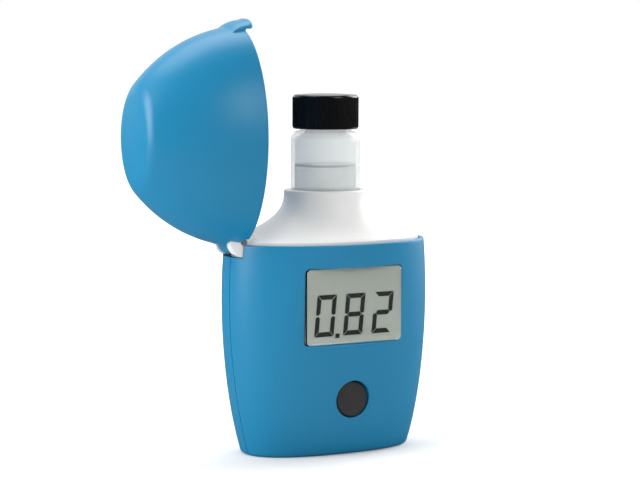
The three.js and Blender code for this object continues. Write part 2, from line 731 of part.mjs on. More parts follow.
function cellHolder() {
  const top = ledgeZ - FIT;
  const cupRadius = SPRING_RADIUS + SPRING_WIRE + FIT;
  const tube = post(wellOuterRadius, wellFloorZ - WELL_FLOOR, top);
  const cup = post(cupRadius + CUP_WALL, CASE_FLOOR + TOUCH, wellFloorZ);
  const opticsBoss = rod(OPTICS_BOSS, 0, wellOuterRadius + OPTICS_DEPTH, 0, OPTICS_Z);
  const hollow = post(wellRadius, wellFloorZ, top + 1);
  const cupHollow = post(cupRadius, CASE_FLOOR + TOUCH + CUP_WALL, wellFloorZ + 1);
  const opticsBore = rod(OPTICS_BORE, wellOuterRadius, wellOuterRadius + OPTICS_DEPTH + 1, 0, OPTICS_Z);
  const lightPath = rod(LIGHT_HOLE, boardBackY - 1, wellOuterRadius + 1, 0, OPTICS_Z, SMALL_SEGMENTS);
  const cablePath = box([-30, -30, top - 4], [pivotX + TROUGH_REACH + FIT, 30, top + 1]);
  return cut(fuse(tube, cup, opticsBoss), hollow, cupHollow, opticsBore, lightPath, cablePath);
}

function vialSeat() {
  const radius = wellRadius - FIT;
  const spigot = SPRING_RADIUS - SPRING_WIRE - FIT;
  const top = seatTopZ;
  return turned([
    [0, top - SEAT_THICKNESS - SEAT_RIM],
    [spigot, top - SEAT_THICKNESS - SEAT_RIM],
    [spigot, top - SEAT_THICKNESS],
    [radius, top - SEAT_THICKNESS],
    [radius, top],
    [0, top],
  ]);
}

function seatSpring() {
  const z0 = CASE_FLOOR + 2 * TOUCH + CUP_WALL + SPRING_WIRE;
  const z1 = seatTopZ - SEAT_THICKNESS - TOUCH - SPRING_WIRE;
  const steps = SPRING_TURNS * 10;
  const points = Array.from({ length: steps + 1 }, (_, i) => {
    const angle = (2 * Math.PI * SPRING_TURNS * i) / steps;
    const [x, y] = [SPRING_RADIUS * Math.cos(angle), SPRING_RADIUS * Math.sin(angle)];
    return new THREE.Vector3(x, y, z0 + ((z1 - z0) * i) / steps);
  });
  const section = new THREE.Shape().absarc(0, 0, SPRING_WIRE, 0, 2 * Math.PI);
  const geometry = new THREE.ExtrudeGeometry(section, {
    steps,
    curveSegments: 3,
    extrudePath: new THREE.CatmullRomCurve3(points),
  });
  return solid(geometry);
}

function lightSource() {
  const back = boardBackY + TOUCH;
  const half = LAMP_BASE / 2;
  return fuse(
    box([-half, back, OPTICS_Z - half], [half, back + LAMP_BASE_HEIGHT, OPTICS_Z + half]),
    rod(LIGHT_HOLE - FIT * 2, back, back + LAMP_HEIGHT, 0, OPTICS_Z, SMALL_SEGMENTS),
  );
}

function opticsDisc(thickness, offset) {
  const y0 = wellOuterRadius + TOUCH + offset;
  return rod(OPTICS_BORE - FIT / 2, y0, y0 + thickness, 0, OPTICS_Z, SMALL_SEGMENTS);
}

function detectorBoard() {
  const y0 = wellOuterRadius + OPTICS_DEPTH + TOUCH;
  const half = DETECTOR_BOARD_HALF;
  const y1 = y0 + DETECTOR_BOARD_THICKNESS;
  return box([-half, y0, OPTICS_Z - half], [half, y1, OPTICS_Z + half]);
}

// ---- Board, display and button ----

function mainBoard() {
  const blank = box(
    [-BOARD_HALF_WIDTH, boardFrontY, BOARD_LOW_Z],
    [BOARD_HALF_WIDTH, boardBackY, RIM_Z - BOARD_TOP_DROP],
  );
  const screwHoles = boardScrewsX.map((x) =>
    rod(SCREW_SHANK + FIT / 2, -2 * baseHalfDepth, 0, x, BOARD_SCREW_Z, SMALL_SEGMENTS),
  );
  return cut(blank.intersect(insideOfCase()), ...screwHoles);
}

function displayLens() {
  return facePlate(
    DISPLAY_HALF_WIDTH - FIT / 2,
    DISPLAY_HALF_HEIGHT - FIT / 2,
    DISPLAY_CORNER,
    lensFrontY,
    lensBackY,
    0,
    DISPLAY_Z,
    LENS_ROUND,
  );
}

function crystalPanel() {
  const [halfWidth, halfHeight] = [DISPLAY_HALF_WIDTH - FIT, DISPLAY_HALF_HEIGHT - FIT];
  return facePlate(halfWidth, halfHeight, DISPLAY_CORNER, panelFrontY, panelBackY, 0, DISPLAY_Z);
}

function stripFrame() {
  const [halfWidth, halfHeight] = [DISPLAY_HALF_WIDTH - FIT, DISPLAY_HALF_HEIGHT - FIT];
  const front = panelBackY + TOUCH;
  const back = boardFrontY - TOUCH;
  const bar = stripOffsetZ - CONTACT_STRIP_HEIGHT / 2 - TOUCH;
  const slots = [-1, 1].map((side) =>
    facePlate(
      halfWidth - STRIP_FRAME_WALL,
      CONTACT_STRIP_HEIGHT / 2 + TOUCH,
      0.2,
      front - 1,
      back + 1,
      0,
      DISPLAY_Z + side * stripOffsetZ,
    ),
  );
  const outline = facePlate(halfWidth, halfHeight, DISPLAY_CORNER, front, back, 0, DISPLAY_Z);
  const middle = facePlate(
    halfWidth - STRIP_FRAME_WALL,
    bar - STRIP_FRAME_WALL,
    0.5,
    front - 1,
    back + 1,
    0,
    DISPLAY_Z,
  );
  return cut(outline, ...slots, middle);
}

function contactStrip(side) {
  return facePlate(
    DISPLAY_HALF_WIDTH - FIT - STRIP_FRAME_WALL - FIT,
    CONTACT_STRIP_HEIGHT / 2,
    0.2,
    boardFrontY - TOUCH - CONTACT_STRIP_DEPTH,
    boardFrontY - TOUCH,
    0,
    DISPLAY_Z + side * stripOffsetZ,
  );
}

function keySwitch() {
  const half = SWITCH_SIZE / 2;
  return box([-half, switchFrontY, BUTTON_Z - half], [half, boardFrontY - TOUCH, BUTTON_Z + half]);
}

function buttonCap() {
  const radius = BUTTON_HOLE_RADIUS - FIT;
  return fuse(
    rod(radius, buttonFrontY, buttonBackY, 0, BUTTON_Z),
    rod(buttonFlangeRadius, buttonFlangeFrontY, buttonBackY, 0, BUTTON_Z),
  );
}

function microcontroller() {
  const front = boardBackY + TOUCH;
  const half = CHIP_SIZE / 2;
  return box(
    [CHIP_X - half, front, CHIP_Z - half],
    [CHIP_X + half, front + CHIP_HEIGHT, CHIP_Z + half],
  );
}

// ---- Battery ----

function batteryHolder() {
  const z0 = CASE_FLOOR + COVER_RECESS + 2 * FIT;
  const top = batteryTopZ + CONTACT_THICKNESS + 2 * TOUCH;
  const tube = post(holderRadius, z0, top + HOLDER_CAP, batteryX);
  const hollow = post(BATTERY_RADIUS + FIT, z0 - 1, top, batteryX);
  const pilot = SCREW_SHANK + TOUCH;
  const rightScrews = caseScrews.filter((screw) => screw.x > 0);
  const bosses = rightScrews.map(({ x, z, endY }) =>
    rod(CASE_BOSS - 0.8, BATTERY_RADIUS + FIT * 2, endY + BOSS_REACH, x, z, SMALL_SEGMENTS),
  );
  const pilots = rightScrews.map(({ x, z, endY }) =>
    rod(pilot, endY - TOUCH, endY + 2 * BOSS_REACH, x, z, SMALL_SEGMENTS),
  );
  const postTop = z0 + COVER_POST_HEIGHT;
  const screwPost = post(COVER_SCREW_POST, z0, postTop, coverScrewX, 0, SMALL_SEGMENTS);
  const screwPilot = post(pilot, z0 - 1, postTop - 1, coverScrewX, 0, SMALL_SEGMENTS);
  const wellRoom = post(wellOuterRadius + FIT / 2, wellFloorZ - WELL_FLOOR - FIT, RIM_Z);
  const outer = cut(fuse(tube, ...bosses, screwPost), hollow, wellRoom, screwPilot);
  return cut(outer, ...pilots);
}

function battery() {
  const body = post(BATTERY_RADIUS, BATTERY_BASE_Z, batteryTopZ - BATTERY_NUB, batteryX);
  return fuse(
    body,
    post(BATTERY_NUB_RADIUS, batteryTopZ - BATTERY_NUB - 1, batteryTopZ, batteryX, 0, SMALL_SEGMENTS),
  );
}

function contactPlate() {
  const z0 = batteryTopZ + TOUCH;
  return post(BATTERY_RADIUS - 1.5, z0, z0 + CONTACT_THICKNESS, batteryX, 0, SMALL_SEGMENTS);
}

/** A conical contact spring on the cover, pressing on the battery's flat end. */
function contactSpring() {
  const z0 = COVER_RECESS + COVER_THICKNESS + TOUCH + SPRING_WIRE;
  const z1 = BATTERY_BASE_Z - TOUCH - SPRING_WIRE;
  const turns = 2.5;
  const steps = Math.round(turns * 10);
  const points = Array.from({ length: steps + 1 }, (_, i) => {
    const share = i / steps;
    const angle = 2 * Math.PI * turns * share;
    const radius = BATTERY_RADIUS - 1 - 2 * share;
    const [x, y] = [batteryX + radius * Math.cos(angle), radius * Math.sin(angle)];
    return new THREE.Vector3(x, y, z0 + (z1 - z0) * share);
  });
  const section = new THREE.Shape().absarc(0, 0, SPRING_WIRE, 0, 2 * Math.PI);
  return solid(
    new THREE.ExtrudeGeometry(section, {
      steps,
      curveSegments: 3,
      extrudePath: new THREE.CatmullRomCurve3(points),
    }),
  );
}

function batteryCover() {
  const plate = coverOutline(0, COVER_RECESS, COVER_RECESS + COVER_THICKNESS);
  const headSeat = COVER_RECESS + COVER_SCREW_HEAD_HEIGHT;
  const headRoom = post(SCREW_HEAD + FIT / 2, -1, headSeat, coverScrewX, 0, SMALL_SEGMENTS);
  const shankRoom = post(SCREW_SHANK + FIT / 2, -1, CASE_FLOOR + 1, coverScrewX, 0, SMALL_SEGMENTS);
  return cut(plate, headRoom, shankRoom);
}

// ---- Screws ----

/** A screw with its head's flat underside at height 0, the shank running down. */
function screw(length, headHeight) {
  const head = post(SCREW_HEAD, 0, headHeight, 0, 0, SMALL_SEGMENTS);
  const shank = post(SCREW_SHANK, -length, headHeight / 2, 0, 0, SMALL_SEGMENTS);
  const depth = headHeight * 0.45;
  const slots = [0, 90].map((turn) =>
    box(
      [-SCREW_HEAD * 0.65, -SCREW_SLOT / 2, headHeight - depth],
      [SCREW_HEAD * 0.65, SCREW_SLOT / 2, headHeight + 1],
    ).rotate([0, 0, turn]),
  );
  return cut(fuse(head, shank), ...slots);
}

// ---- Assembly ----

function sceneMesh(name, body, material) {
  const { vertProperties, triVerts } = body.getMesh();
  const geometry = new THREE.BufferGeometry();
  geometry.setAttribute("position", new THREE.BufferAttribute(Float32Array.from(vertProperties), 3));
  geometry.setIndex(new THREE.BufferAttribute(Uint32Array.from(triVerts), 1));
  geometry.computeVertexNormals();
  const mesh = new THREE.Mesh(geometry, material);
  mesh.name = name;
  return mesh;
}

const tester = new THREE.Group();
tester.name = "digital_water_tester";

tester.add(
  sceneMesh("front_shell", frontShell(), bluePlastic),
  sceneMesh("rear_shell", rearShell(), bluePlastic),
  sceneMesh("collar_frame", collarFrame(), whitePlastic),
  sceneMesh("hinge_pin", hingePin(), steel),
  sceneMesh("well_seal_ring", sealRing(), rubber),
  sceneMesh("cell_holder", cellHolder(), innerPlastic),
  sceneMesh("vial_seat", vialSeat(), innerPlastic),
  sceneMesh("seat_spring", seatSpring(), steel),
  sceneMesh("led", lightSource(), clearPlastic),
  sceneMesh("interference_filter", opticsDisc(FILTER_THICKNESS, 0), glass),
  sceneMesh("photodiode", opticsDisc(DIODE_THICKNESS, FILTER_THICKNESS + TOUCH), blackPlastic),
  sceneMesh("detector_board", detectorBoard(), board),
  sceneMesh("main_board", mainBoard(), board),
  sceneMesh("display_lens", displayLens(), clearPlastic),
  sceneMesh("crystal_panel", crystalPanel(), crystal),
  sceneMesh("strip_frame", stripFrame(), innerPlastic),
  sceneMesh("contact_strip_top", contactStrip(1), rubber),
  sceneMesh("contact_strip_bottom", contactStrip(-1), rubber),
  sceneMesh("key_switch", keySwitch(), steel),
  sceneMesh("button_cap", buttonCap(), darkPlastic),
  sceneMesh("microcontroller", microcontroller(), blackPlastic),
  sceneMesh("battery_holder", batteryHolder(), innerPlastic),
  sceneMesh("battery", battery(), batteryWrap),
  sceneMesh("contact_plate", contactPlate(), brass),
  sceneMesh("contact_spring", contactSpring(), steel),
  sceneMesh("battery_cover", batteryCover(), bluePlastic),
);

caseScrews.forEach(({ x, z, seatY, endY }, index) => {
  const shank = seatY - endY - (x < 0 ? 0 : TOUCH);
  const mesh = sceneMesh(`case_screw_${index + 1}`, screw(shank, SCREW_HEAD_HEIGHT), steel);
  mesh.position.set(x, seatY + TOUCH, z);
  mesh.rotation.x = -Math.PI / 2;
  tester.add(mesh);
});

boardScrewsX.forEach((x, index) => {
  const body = screw(BOARD_SCREW_LENGTH, BOARD_SCREW_HEAD_HEIGHT);
  const mesh = sceneMesh(`board_screw_${index + 1}`, body, steel);
  mesh.position.set(x, boardBackY + TOUCH, BOARD_SCREW_Z);
  mesh.rotation.x = -Math.PI / 2;
  tester.add(mesh);
});

const coverScrew = sceneMesh(
  "cover_screw",
  screw(COVER_SCREW_LENGTH, COVER_SCREW_HEAD_HEIGHT),
  steel,
);
coverScrew.position.set(coverScrewX, 0, COVER_RECESS + COVER_SCREW_HEAD_HEIGHT - TOUCH);
coverScrew.rotation.x = Math.PI;
tester.add(coverScrew);

// The lid turns about the pin. It is drawn closed and stands open by a quarter turn.
const lid = new THREE.Group();
lid.position.set(pivotX, 0, pivotZ);
lid.rotation.y = -Math.PI / 2;
lid.add(sceneMesh("lid", closedLid().translate([-pivotX, 0, -pivotZ]), bluePlastic));
tester.add(lid);

// The vial and what it carries stand on the raised seat.
const vial = new THREE.Group();
vial.position.z = vialBaseZ;
vial.add(
  sceneMesh("glass_vial", glassVial(), glass),
  sceneMesh("water_sample", waterSample(), water),
  sceneMesh("stopper", stopper(), stopperPlastic),
  sceneMesh("vial_cap", vialCap(), blackPlastic),
);
tester.add(vial);

export default tester;
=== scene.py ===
"""A digital water tester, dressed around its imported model.

Sizes are in millimetres in the code and become metres when a mesh is made. +Z is up, the display
faces -Y and the lid's hinge is on the -X side. The lid stands open at rest.
"""

import json
import logging
import math
from dataclasses import dataclass, field
from enum import Enum
from typing import Callable, Iterable, Sequence

import bmesh
import bpy
import numpy as np
from mathutils import Matrix, Vector

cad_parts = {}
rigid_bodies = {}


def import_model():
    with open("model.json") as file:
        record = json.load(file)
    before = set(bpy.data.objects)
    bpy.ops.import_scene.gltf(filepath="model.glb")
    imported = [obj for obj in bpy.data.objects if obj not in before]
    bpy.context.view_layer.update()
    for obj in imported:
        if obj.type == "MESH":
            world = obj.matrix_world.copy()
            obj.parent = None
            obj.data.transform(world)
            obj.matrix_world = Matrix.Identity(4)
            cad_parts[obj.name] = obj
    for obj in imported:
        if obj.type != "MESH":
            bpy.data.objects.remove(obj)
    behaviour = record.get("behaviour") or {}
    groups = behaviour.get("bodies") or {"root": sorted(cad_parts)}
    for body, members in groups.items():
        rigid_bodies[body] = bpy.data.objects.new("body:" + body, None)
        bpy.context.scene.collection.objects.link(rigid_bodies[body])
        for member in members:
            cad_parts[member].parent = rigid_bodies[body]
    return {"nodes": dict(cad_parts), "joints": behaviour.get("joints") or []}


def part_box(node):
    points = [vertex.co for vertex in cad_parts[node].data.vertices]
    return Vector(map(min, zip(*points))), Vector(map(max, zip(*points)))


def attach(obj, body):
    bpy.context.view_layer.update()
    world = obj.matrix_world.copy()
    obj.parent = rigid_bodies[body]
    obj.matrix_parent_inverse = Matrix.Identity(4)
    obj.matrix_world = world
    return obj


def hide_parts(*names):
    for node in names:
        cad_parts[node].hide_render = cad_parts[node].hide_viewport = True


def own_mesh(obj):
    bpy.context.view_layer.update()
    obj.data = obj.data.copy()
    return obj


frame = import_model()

log = logging.getLogger("water_tester")

MM = 0.001
FULL_TURN = 2 * math.pi
Point = tuple[float, float, float]
Colour = tuple[float, float, float]


def cad_box(node: str) -> tuple[Vector, Vector]:
    """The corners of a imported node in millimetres.

    Args:
        node: The node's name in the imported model.

    Returns:
        Its lowest and highest corner at rest.
    """
    low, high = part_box(node)
    return low / MM, high / MM


# ---------------------------------------------------------------- meshes


class Cut(Enum):
    """What one solid does to another."""

    AWAY = "DIFFERENCE"
    JOIN = "UNION"
    KEEP_INSIDE = "INTERSECT"


class Axis(Enum):
    """The direction that a turned piece's own axis takes in the frame."""

    UP = (0.0, 0.0)
    DOWN = (math.pi, 0.0)
    BACK = (-math.pi / 2, 0.0)
    FRONT = (math.pi / 2, 0.0)

    def matrix(self) -> Matrix:
        """The turn from +Z to this direction."""
        about_x, about_z = self.value
        return Matrix.Rotation(about_z, 4, "Z") @ Matrix.Rotation(about_x, 4, "X")


@dataclass
class Draft:
    """Vertices in millimetres and faces, gathered before they become one mesh."""

    vertices: list[Point] = field(default_factory=list)
    faces: list[tuple[int, ...]] = field(default_factory=list)

    def loft(self, rings: Sequence[Sequence[Point]], closed: bool = False) -> "Draft":
        """Joins rings of equal count by quads.

        Args:
            rings: Rings of points, each anticlockwise seen from the side that the sequence goes to.
            closed: Joins the last ring to the first instead of capping both ends.

        Returns:
            This draft, so that calls can be chained.
        """
        first, count = len(self.vertices), len(rings[0])
        for ring in rings:
            self.vertices.extend(tuple(point) for point in ring)
        pairs = len(rings) if closed else len(rings) - 1
        for level in range(pairs):
            low = first + level * count
            high = first + ((level + 1) % len(rings)) * count
            for i in range(count):
                j = (i + 1) % count
                self.faces.append((low + i, low + j, high + j, high + i))
        if not closed:
            last = first + (len(rings) - 1) * count
            self.faces.append(tuple(first + i for i in reversed(range(count))))
            self.faces.append(tuple(last + i for i in range(count)))
        return self

    def turned(self, profile: Sequence[tuple[float, float]], segments: int = 96, closed: bool = False) -> "Draft":
        """A body of revolution about +Z.

        Args:
            profile: Points of radius and height, in the order that puts the outside on the right.
            segments: Facets round the axis.
            closed: Joins the last point to the first, for a ring.

        Returns:
            This draft.
        """
        angles = [FULL_TURN * i / segments for i in range(segments)]
        rings = [
            [(radius * math.cos(a), radius * math.sin(a), height) for a in angles]
            for radius, height in profile
        ]
        return self.loft(rings, closed)

    def box(self, low: Sequence[float], high: Sequence[float]) -> "Draft":
        """An upright block between two corners. Returns this draft."""
        rings = [
            [(low[0], low[1], z), (high[0], low[1], z), (high[0], high[1], z), (low[0], high[1], z)]
            for z in (low[2], high[2])
        ]
        return self.loft(rings)

    def placed(self, matrix: Matrix) -> "Draft":
        """Moves everything drafted so far by a matrix whose shift is in millimetres. Returns this draft."""
        self.vertices = [tuple(matrix @ Vector(point)) for point in self.vertices]
        return self

    def build(self, name: str) -> bpy.types.Object:
        """Makes the object.

        Args:
            name: The object's name.

        Returns:
            An object at the origin whose faces point outward.
        """
        mesh = bpy.data.meshes.new(name)
        mesh.from_pydata([tuple(c * MM for c in v) for v in self.vertices], [], self.faces)
        form = bmesh.new()
        form.from_mesh(mesh)
        bmesh.ops.remove_doubles(form, verts=form.verts, dist=1e-8)
        bmesh.ops.recalc_face_normals(form, faces=form.faces)
        form.to_mesh(mesh)
        form.free()
        made = bpy.data.objects.new(name, mesh)
        bpy.context.scene.collection.objects.link(made)
        return made


def frozen(subject: bpy.types.Object) -> bpy.types.Object:
    """Turns an object's evaluated shape into its plain mesh and drops its modifiers.

    Args:
        subject: The object to settle.

    Returns:
        The same object.
    """
    bpy.context.view_layer.update()
    graph = bpy.context.evaluated_depsgraph_get()
    mesh = bpy.data.meshes.new_from_object(subject.evaluated_get(graph), depsgraph=graph)
    subject.modifiers.clear()
    subject.data = mesh
    return subject


def carve(target: bpy.types.Object, tool: bpy.types.Object, how: Cut) -> bpy.types.Object:
    """Cuts or joins two solids and removes the second.

    Args:
        target: The solid that is changed.
        tool: The solid that is used up.
        how: Which boolean is made.

    Returns:
        The changed target.
    """
    modifier = target.modifiers.new("carve", "BOOLEAN")
    modifier.object = tool
    modifier.operation = how.value
    modifier.solver = "EXACT"
    frozen(target)
    bpy.data.objects.remove(tool)
    return target


def smoothed(subject: bpy.types.Object, angle: float = 32.0) -> bpy.types.Object:
    """Shades a piece smooth, with its edges over an angle in degrees kept sharp. Returns the piece."""
    form = bmesh.new()
    form.from_mesh(subject.data)
    bmesh.ops.remove_doubles(form, verts=form.verts, dist=2e-7)
    bmesh.ops.dissolve_degenerate(form, edges=form.edges, dist=2e-7)
    form.to_mesh(subject.data)
    form.free()
    subject.data.shade_smooth()
    subject.data.set_sharp_from_angle(angle=math.radians(angle))
    return subject


def circle(radius: float, count: int, z: float = 0.0) -> list[Point]:
    """A ring of points about +Z. Args are its radius, its count and its height. Returns the points."""
    return [
        (radius * math.cos(FULL_TURN * i / count), radius * math.sin(FULL_TURN * i / count), z)
        for i in range(count)
    ]


def arc(
    centre: tuple[float, float], radius: float, start: float, end: float, steps: int = 6
) -> list[tuple[float, float]]:
    """Points on an arc of a turned profile.

    Args:
        centre: Radius and height of the arc's centre.
        radius: The arc's own radius.
        start: First angle in degrees, from the outward direction towards +Z.
        end: Last angle in degrees.
        steps: Chords on the arc.

    Returns:
        steps + 1 points.
    """
    angles = [math.radians(start + (end - start) * i / steps) for i in range(steps + 1)]
    return [(centre[0] + radius * math.cos(a), centre[1] + radius * math.sin(a)) for a in angles]


def rounded_rectangle(
    half_width: float, half_height: float, corner: float, steps: int = 8, along: int = 12
) -> list[tuple[float, float]]:
    """An outline, anticlockwise.

    Args:
        half_width: Half of its width.
        half_height: Half of its height.
        corner: The radius of its corners.
        steps: Chords in each corner.
        along: Chords on each straight side.

    Returns:
        Points of the outline, always equally many.
    """
    corners = []
    for quarter in range(4):
        sx = 1 if quarter in (0, 3) else -1
        sy = 1 if quarter in (0, 1) else -1
        centre = (sx * (half_width - corner), sy * (half_height - corner))
        corners.append(arc(centre, corner, 90 * quarter, 90 * (quarter + 1), steps))
    points: list[tuple[float, float]] = []
    for here, after in zip(corners, corners[1:] + corners[:1]):
        points += here
        (x, y), (to_x, to_y) = here[-1], after[0]
        points += [(x + (to_x - x) * k / along, y + (to_y - y) * k / along) for k in range(1, along)]
    return points


# ---------------------------------------------------------------- outlines


@dataclass(frozen=True)
class CaseOutline:
    """The flattened barrel: its half sizes at each height, in millimetres."""

    widest: float = 29.4
    widest_z: float = 42.0
    side_arc: float = 160.0
    depth: float = 15.0
    growth: float = 0.06
    tuck: float = 3.4
    tuck_height: float = 6.0
    rim_z: float = cad_box("front_shell")[1].z
    base_exponent: float = 2.4
    rim_exponent: float = 2.0

    def half_width(self, z: float) -> float:
        """Half width at height z."""
        return self.widest - (z - self.widest_z) ** 2 / (2 * self.side_arc)

    def half_depth(self, z: float) -> float:
        """Half depth at height z."""
        return self.depth + self.growth * z - self.tuck * math.exp(-z / self.tuck_height)

    def exponent(self, z: float) -> float:
        """The superellipse exponent at height z: 2 is an ellipse."""
        return self.base_exponent + (self.rim_exponent - self.base_exponent) * z / self.rim_z

    def ring(self, z: float, inset: float = 0.0, count: int = 240) -> list[Point]:
        """The plan at a height.

        Args:
            z: The height.
            inset: How far inside the case's own surface.
            count: Points round the plan.

        Returns:
            An anticlockwise ring.
        """
        return superellipse(
            self.half_width(z) - inset, self.half_depth(z) - inset, self.exponent(z), z, count
        )

    def face_y(self, x: float, z: float) -> float:
        """Distance of the case's face from the middle plane, above or below (x, z)."""
        share = min(abs(x) / self.half_width(z), 1.0)
        power = self.exponent(z)
        return self.half_depth(z) * (1 - share**power) ** (1 / power)


def superellipse(half_width: float, half_depth: float, exponent: float, z: float, count: int) -> list[Point]:
    """A ring about +Z. Args are its half sizes, exponent, height and count. Returns its points."""
    points = []
    for i in range(count):
        c, s = math.cos(FULL_TURN * i / count), math.sin(FULL_TURN * i / count)
        x = half_width * math.copysign(abs(c) ** (2 / exponent), c)
        y = half_depth * math.copysign(abs(s) ** (2 / exponent), s)
        points.append((x, y, z))
    return points


# ---------------------------------------------------------------- shader groups


def new_group(name: str, inputs: Iterable[tuple[str, str, float | None]], outputs: Iterable[tuple[str, str]]):
    """An empty shader group with its sockets.

    Args:
        name: The group's name.
        inputs: Name, socket type and default of each input.
        outputs: Name and socket type of each output.

    Returns:
        The tree, its input node and its output node.
    """
    tree = bpy.data.node_groups.new(name, "ShaderNodeTree")
    for label, kind, default in inputs:
        socket = tree.interface.new_socket(label, in_out="INPUT", socket_type=kind)
        if default is not None:
            socket.default_value = default
    for label, kind in outputs:
        tree.interface.new_socket(label, in_out="OUTPUT", socket_type=kind)
    return tree, tree.nodes.new("NodeGroupInput"), tree.nodes.new("NodeGroupOutput")


def wired(tree: bpy.types.NodeTree, kind: str, settings: dict | None = None, **inputs: object) -> bpy.types.Node:
    """Adds a node and fills its inputs.

    Args:
        tree: The tree that gets the node.
        kind: The node's type.
        settings: Properties to set on the node.
        **inputs: Values or output sockets for inputs, by name, with underscores for spaces.

    Returns:
        The node.
    """
    node = tree.nodes.new(kind)
    for key, value in (settings or {}).items():
        setattr(node, key, value)
    for key, value in inputs.items():
        socket = node.inputs[int(key[1:])] if key[1:].isdigit() else node.inputs[key.replace("_", " ")]
        if isinstance(value, bpy.types.NodeSocket):
            tree.links.new(value, socket)
        else:
            socket.default_value = value
    return node


def grain_group() -> bpy.types.NodeTree:
    """Fine moulding grain: a height for a bump and a mask that drifts slowly.

    Returns:
        The group.
    """
    tree, given, made = new_group(
        "moulded_grain",
        [("Vector", "NodeSocketVector", None), ("Scale", "NodeSocketFloat", 900.0),
        ("Drift", "NodeSocketFloat", 45.0)],
        [("Height", "NodeSocketFloat"), ("Mask", "NodeSocketFloat")],
    )
    fine = wired(tree, "ShaderNodeTexNoise", Vector=given.outputs[0], Scale=given.outputs[1], Detail=3.0)
    pits = wired(
        tree, "ShaderNodeTexVoronoi", {"feature": "SMOOTH_F1"}, Vector=given.outputs[0],
        Scale=given.outputs[1]
    )
    slow = wired(tree, "ShaderNodeTexNoise", Vector=given.outputs[0], Scale=given.outputs[2], Detail=4.0)
    height = wired(
        tree, "ShaderNodeMath", {"operation": "MULTIPLY_ADD"}, i0=pits.outputs[0], i1=0.5, i2=fine.outputs[0]
    )
    tree.links.new(height.outputs[0], made.inputs[0])
    tree.links.new(slow.outputs[0], made.inputs[1])
    return tree


def handling_group() -> bpy.types.NodeTree:
    """Faint handling marks: soft smears and specks of dust.

    Returns:
        The group.
    """
    tree, given, made = new_group(
        "handling_marks",
        [("Vector", "NodeSocketVector", None), ("Smear", "NodeSocketFloat", 60.0),
        ("Amount", "NodeSocketFloat", 0.1)],
        [("Roughness Shift", "NodeSocketFloat"), ("Dust", "NodeSocketFloat")],
    )
    stretched = wired(
        tree, "ShaderNodeMapping", Vector=given.outputs[0], Scale=(1.0, 1.0, 0.35), Rotation=(0.3, 0.2, 0.6)
    )
    smear = wired(
        tree, "ShaderNodeTexNoise", Vector=stretched.outputs[0], Scale=given.outputs[1], Detail=6.0,
        Roughness=0.65
    )
    band = wired(tree, "ShaderNodeMapRange", Value=smear.outputs[0], From_Min=0.45, From_Max=0.75)
    shift = wired(tree, "ShaderNodeMath", {"operation": "MULTIPLY"}, i0=band.outputs[0], i1=given.outputs[2])
    dots = wired(tree, "ShaderNodeTexVoronoi", Vector=given.outputs[0], Scale=850.0)
    dust = wired(tree, "ShaderNodeMapRange", Value=dots.outputs[0], From_Min=0.09, From_Max=0.04)
    tree.links.new(shift.outputs[0], made.inputs[0])
    tree.links.new(dust.outputs[0], made.inputs[1])
    return tree


GRAIN = grain_group()
HANDLING = handling_group()


# ---------------------------------------------------------------- finishes


def grouped(tree: bpy.types.NodeTree, group: bpy.types.NodeTree, **inputs: object) -> bpy.types.Node:
    """Places a shader group in a material. Args are the tree, the group and its inputs. Returns the node."""
    node = tree.nodes.new("ShaderNodeGroup")
    node.node_tree = group
    for key, value in inputs.items():
        socket = node.inputs[key.replace("_", " ")]
        if isinstance(value, bpy.types.NodeSocket):
            tree.links.new(value, socket)
        else:
            socket.default_value = value
    return node


def started(name: str) -> tuple[bpy.types.Material, bpy.types.NodeTree, bpy.types.Node, bpy.types.NodeSocket]:
    """A new material.

    Args:
        name: The material's name.

    Returns:
        The material, its tree, its shader and its Object coordinates.
    """
    material = bpy.data.materials.new(name)
    material.use_nodes = True
    tree = material.node_tree
    shader = tree.nodes["Principled BSDF"]
    place = tree.nodes.new("ShaderNodeTexCoord").outputs["Object"]
    return material, tree, shader, place


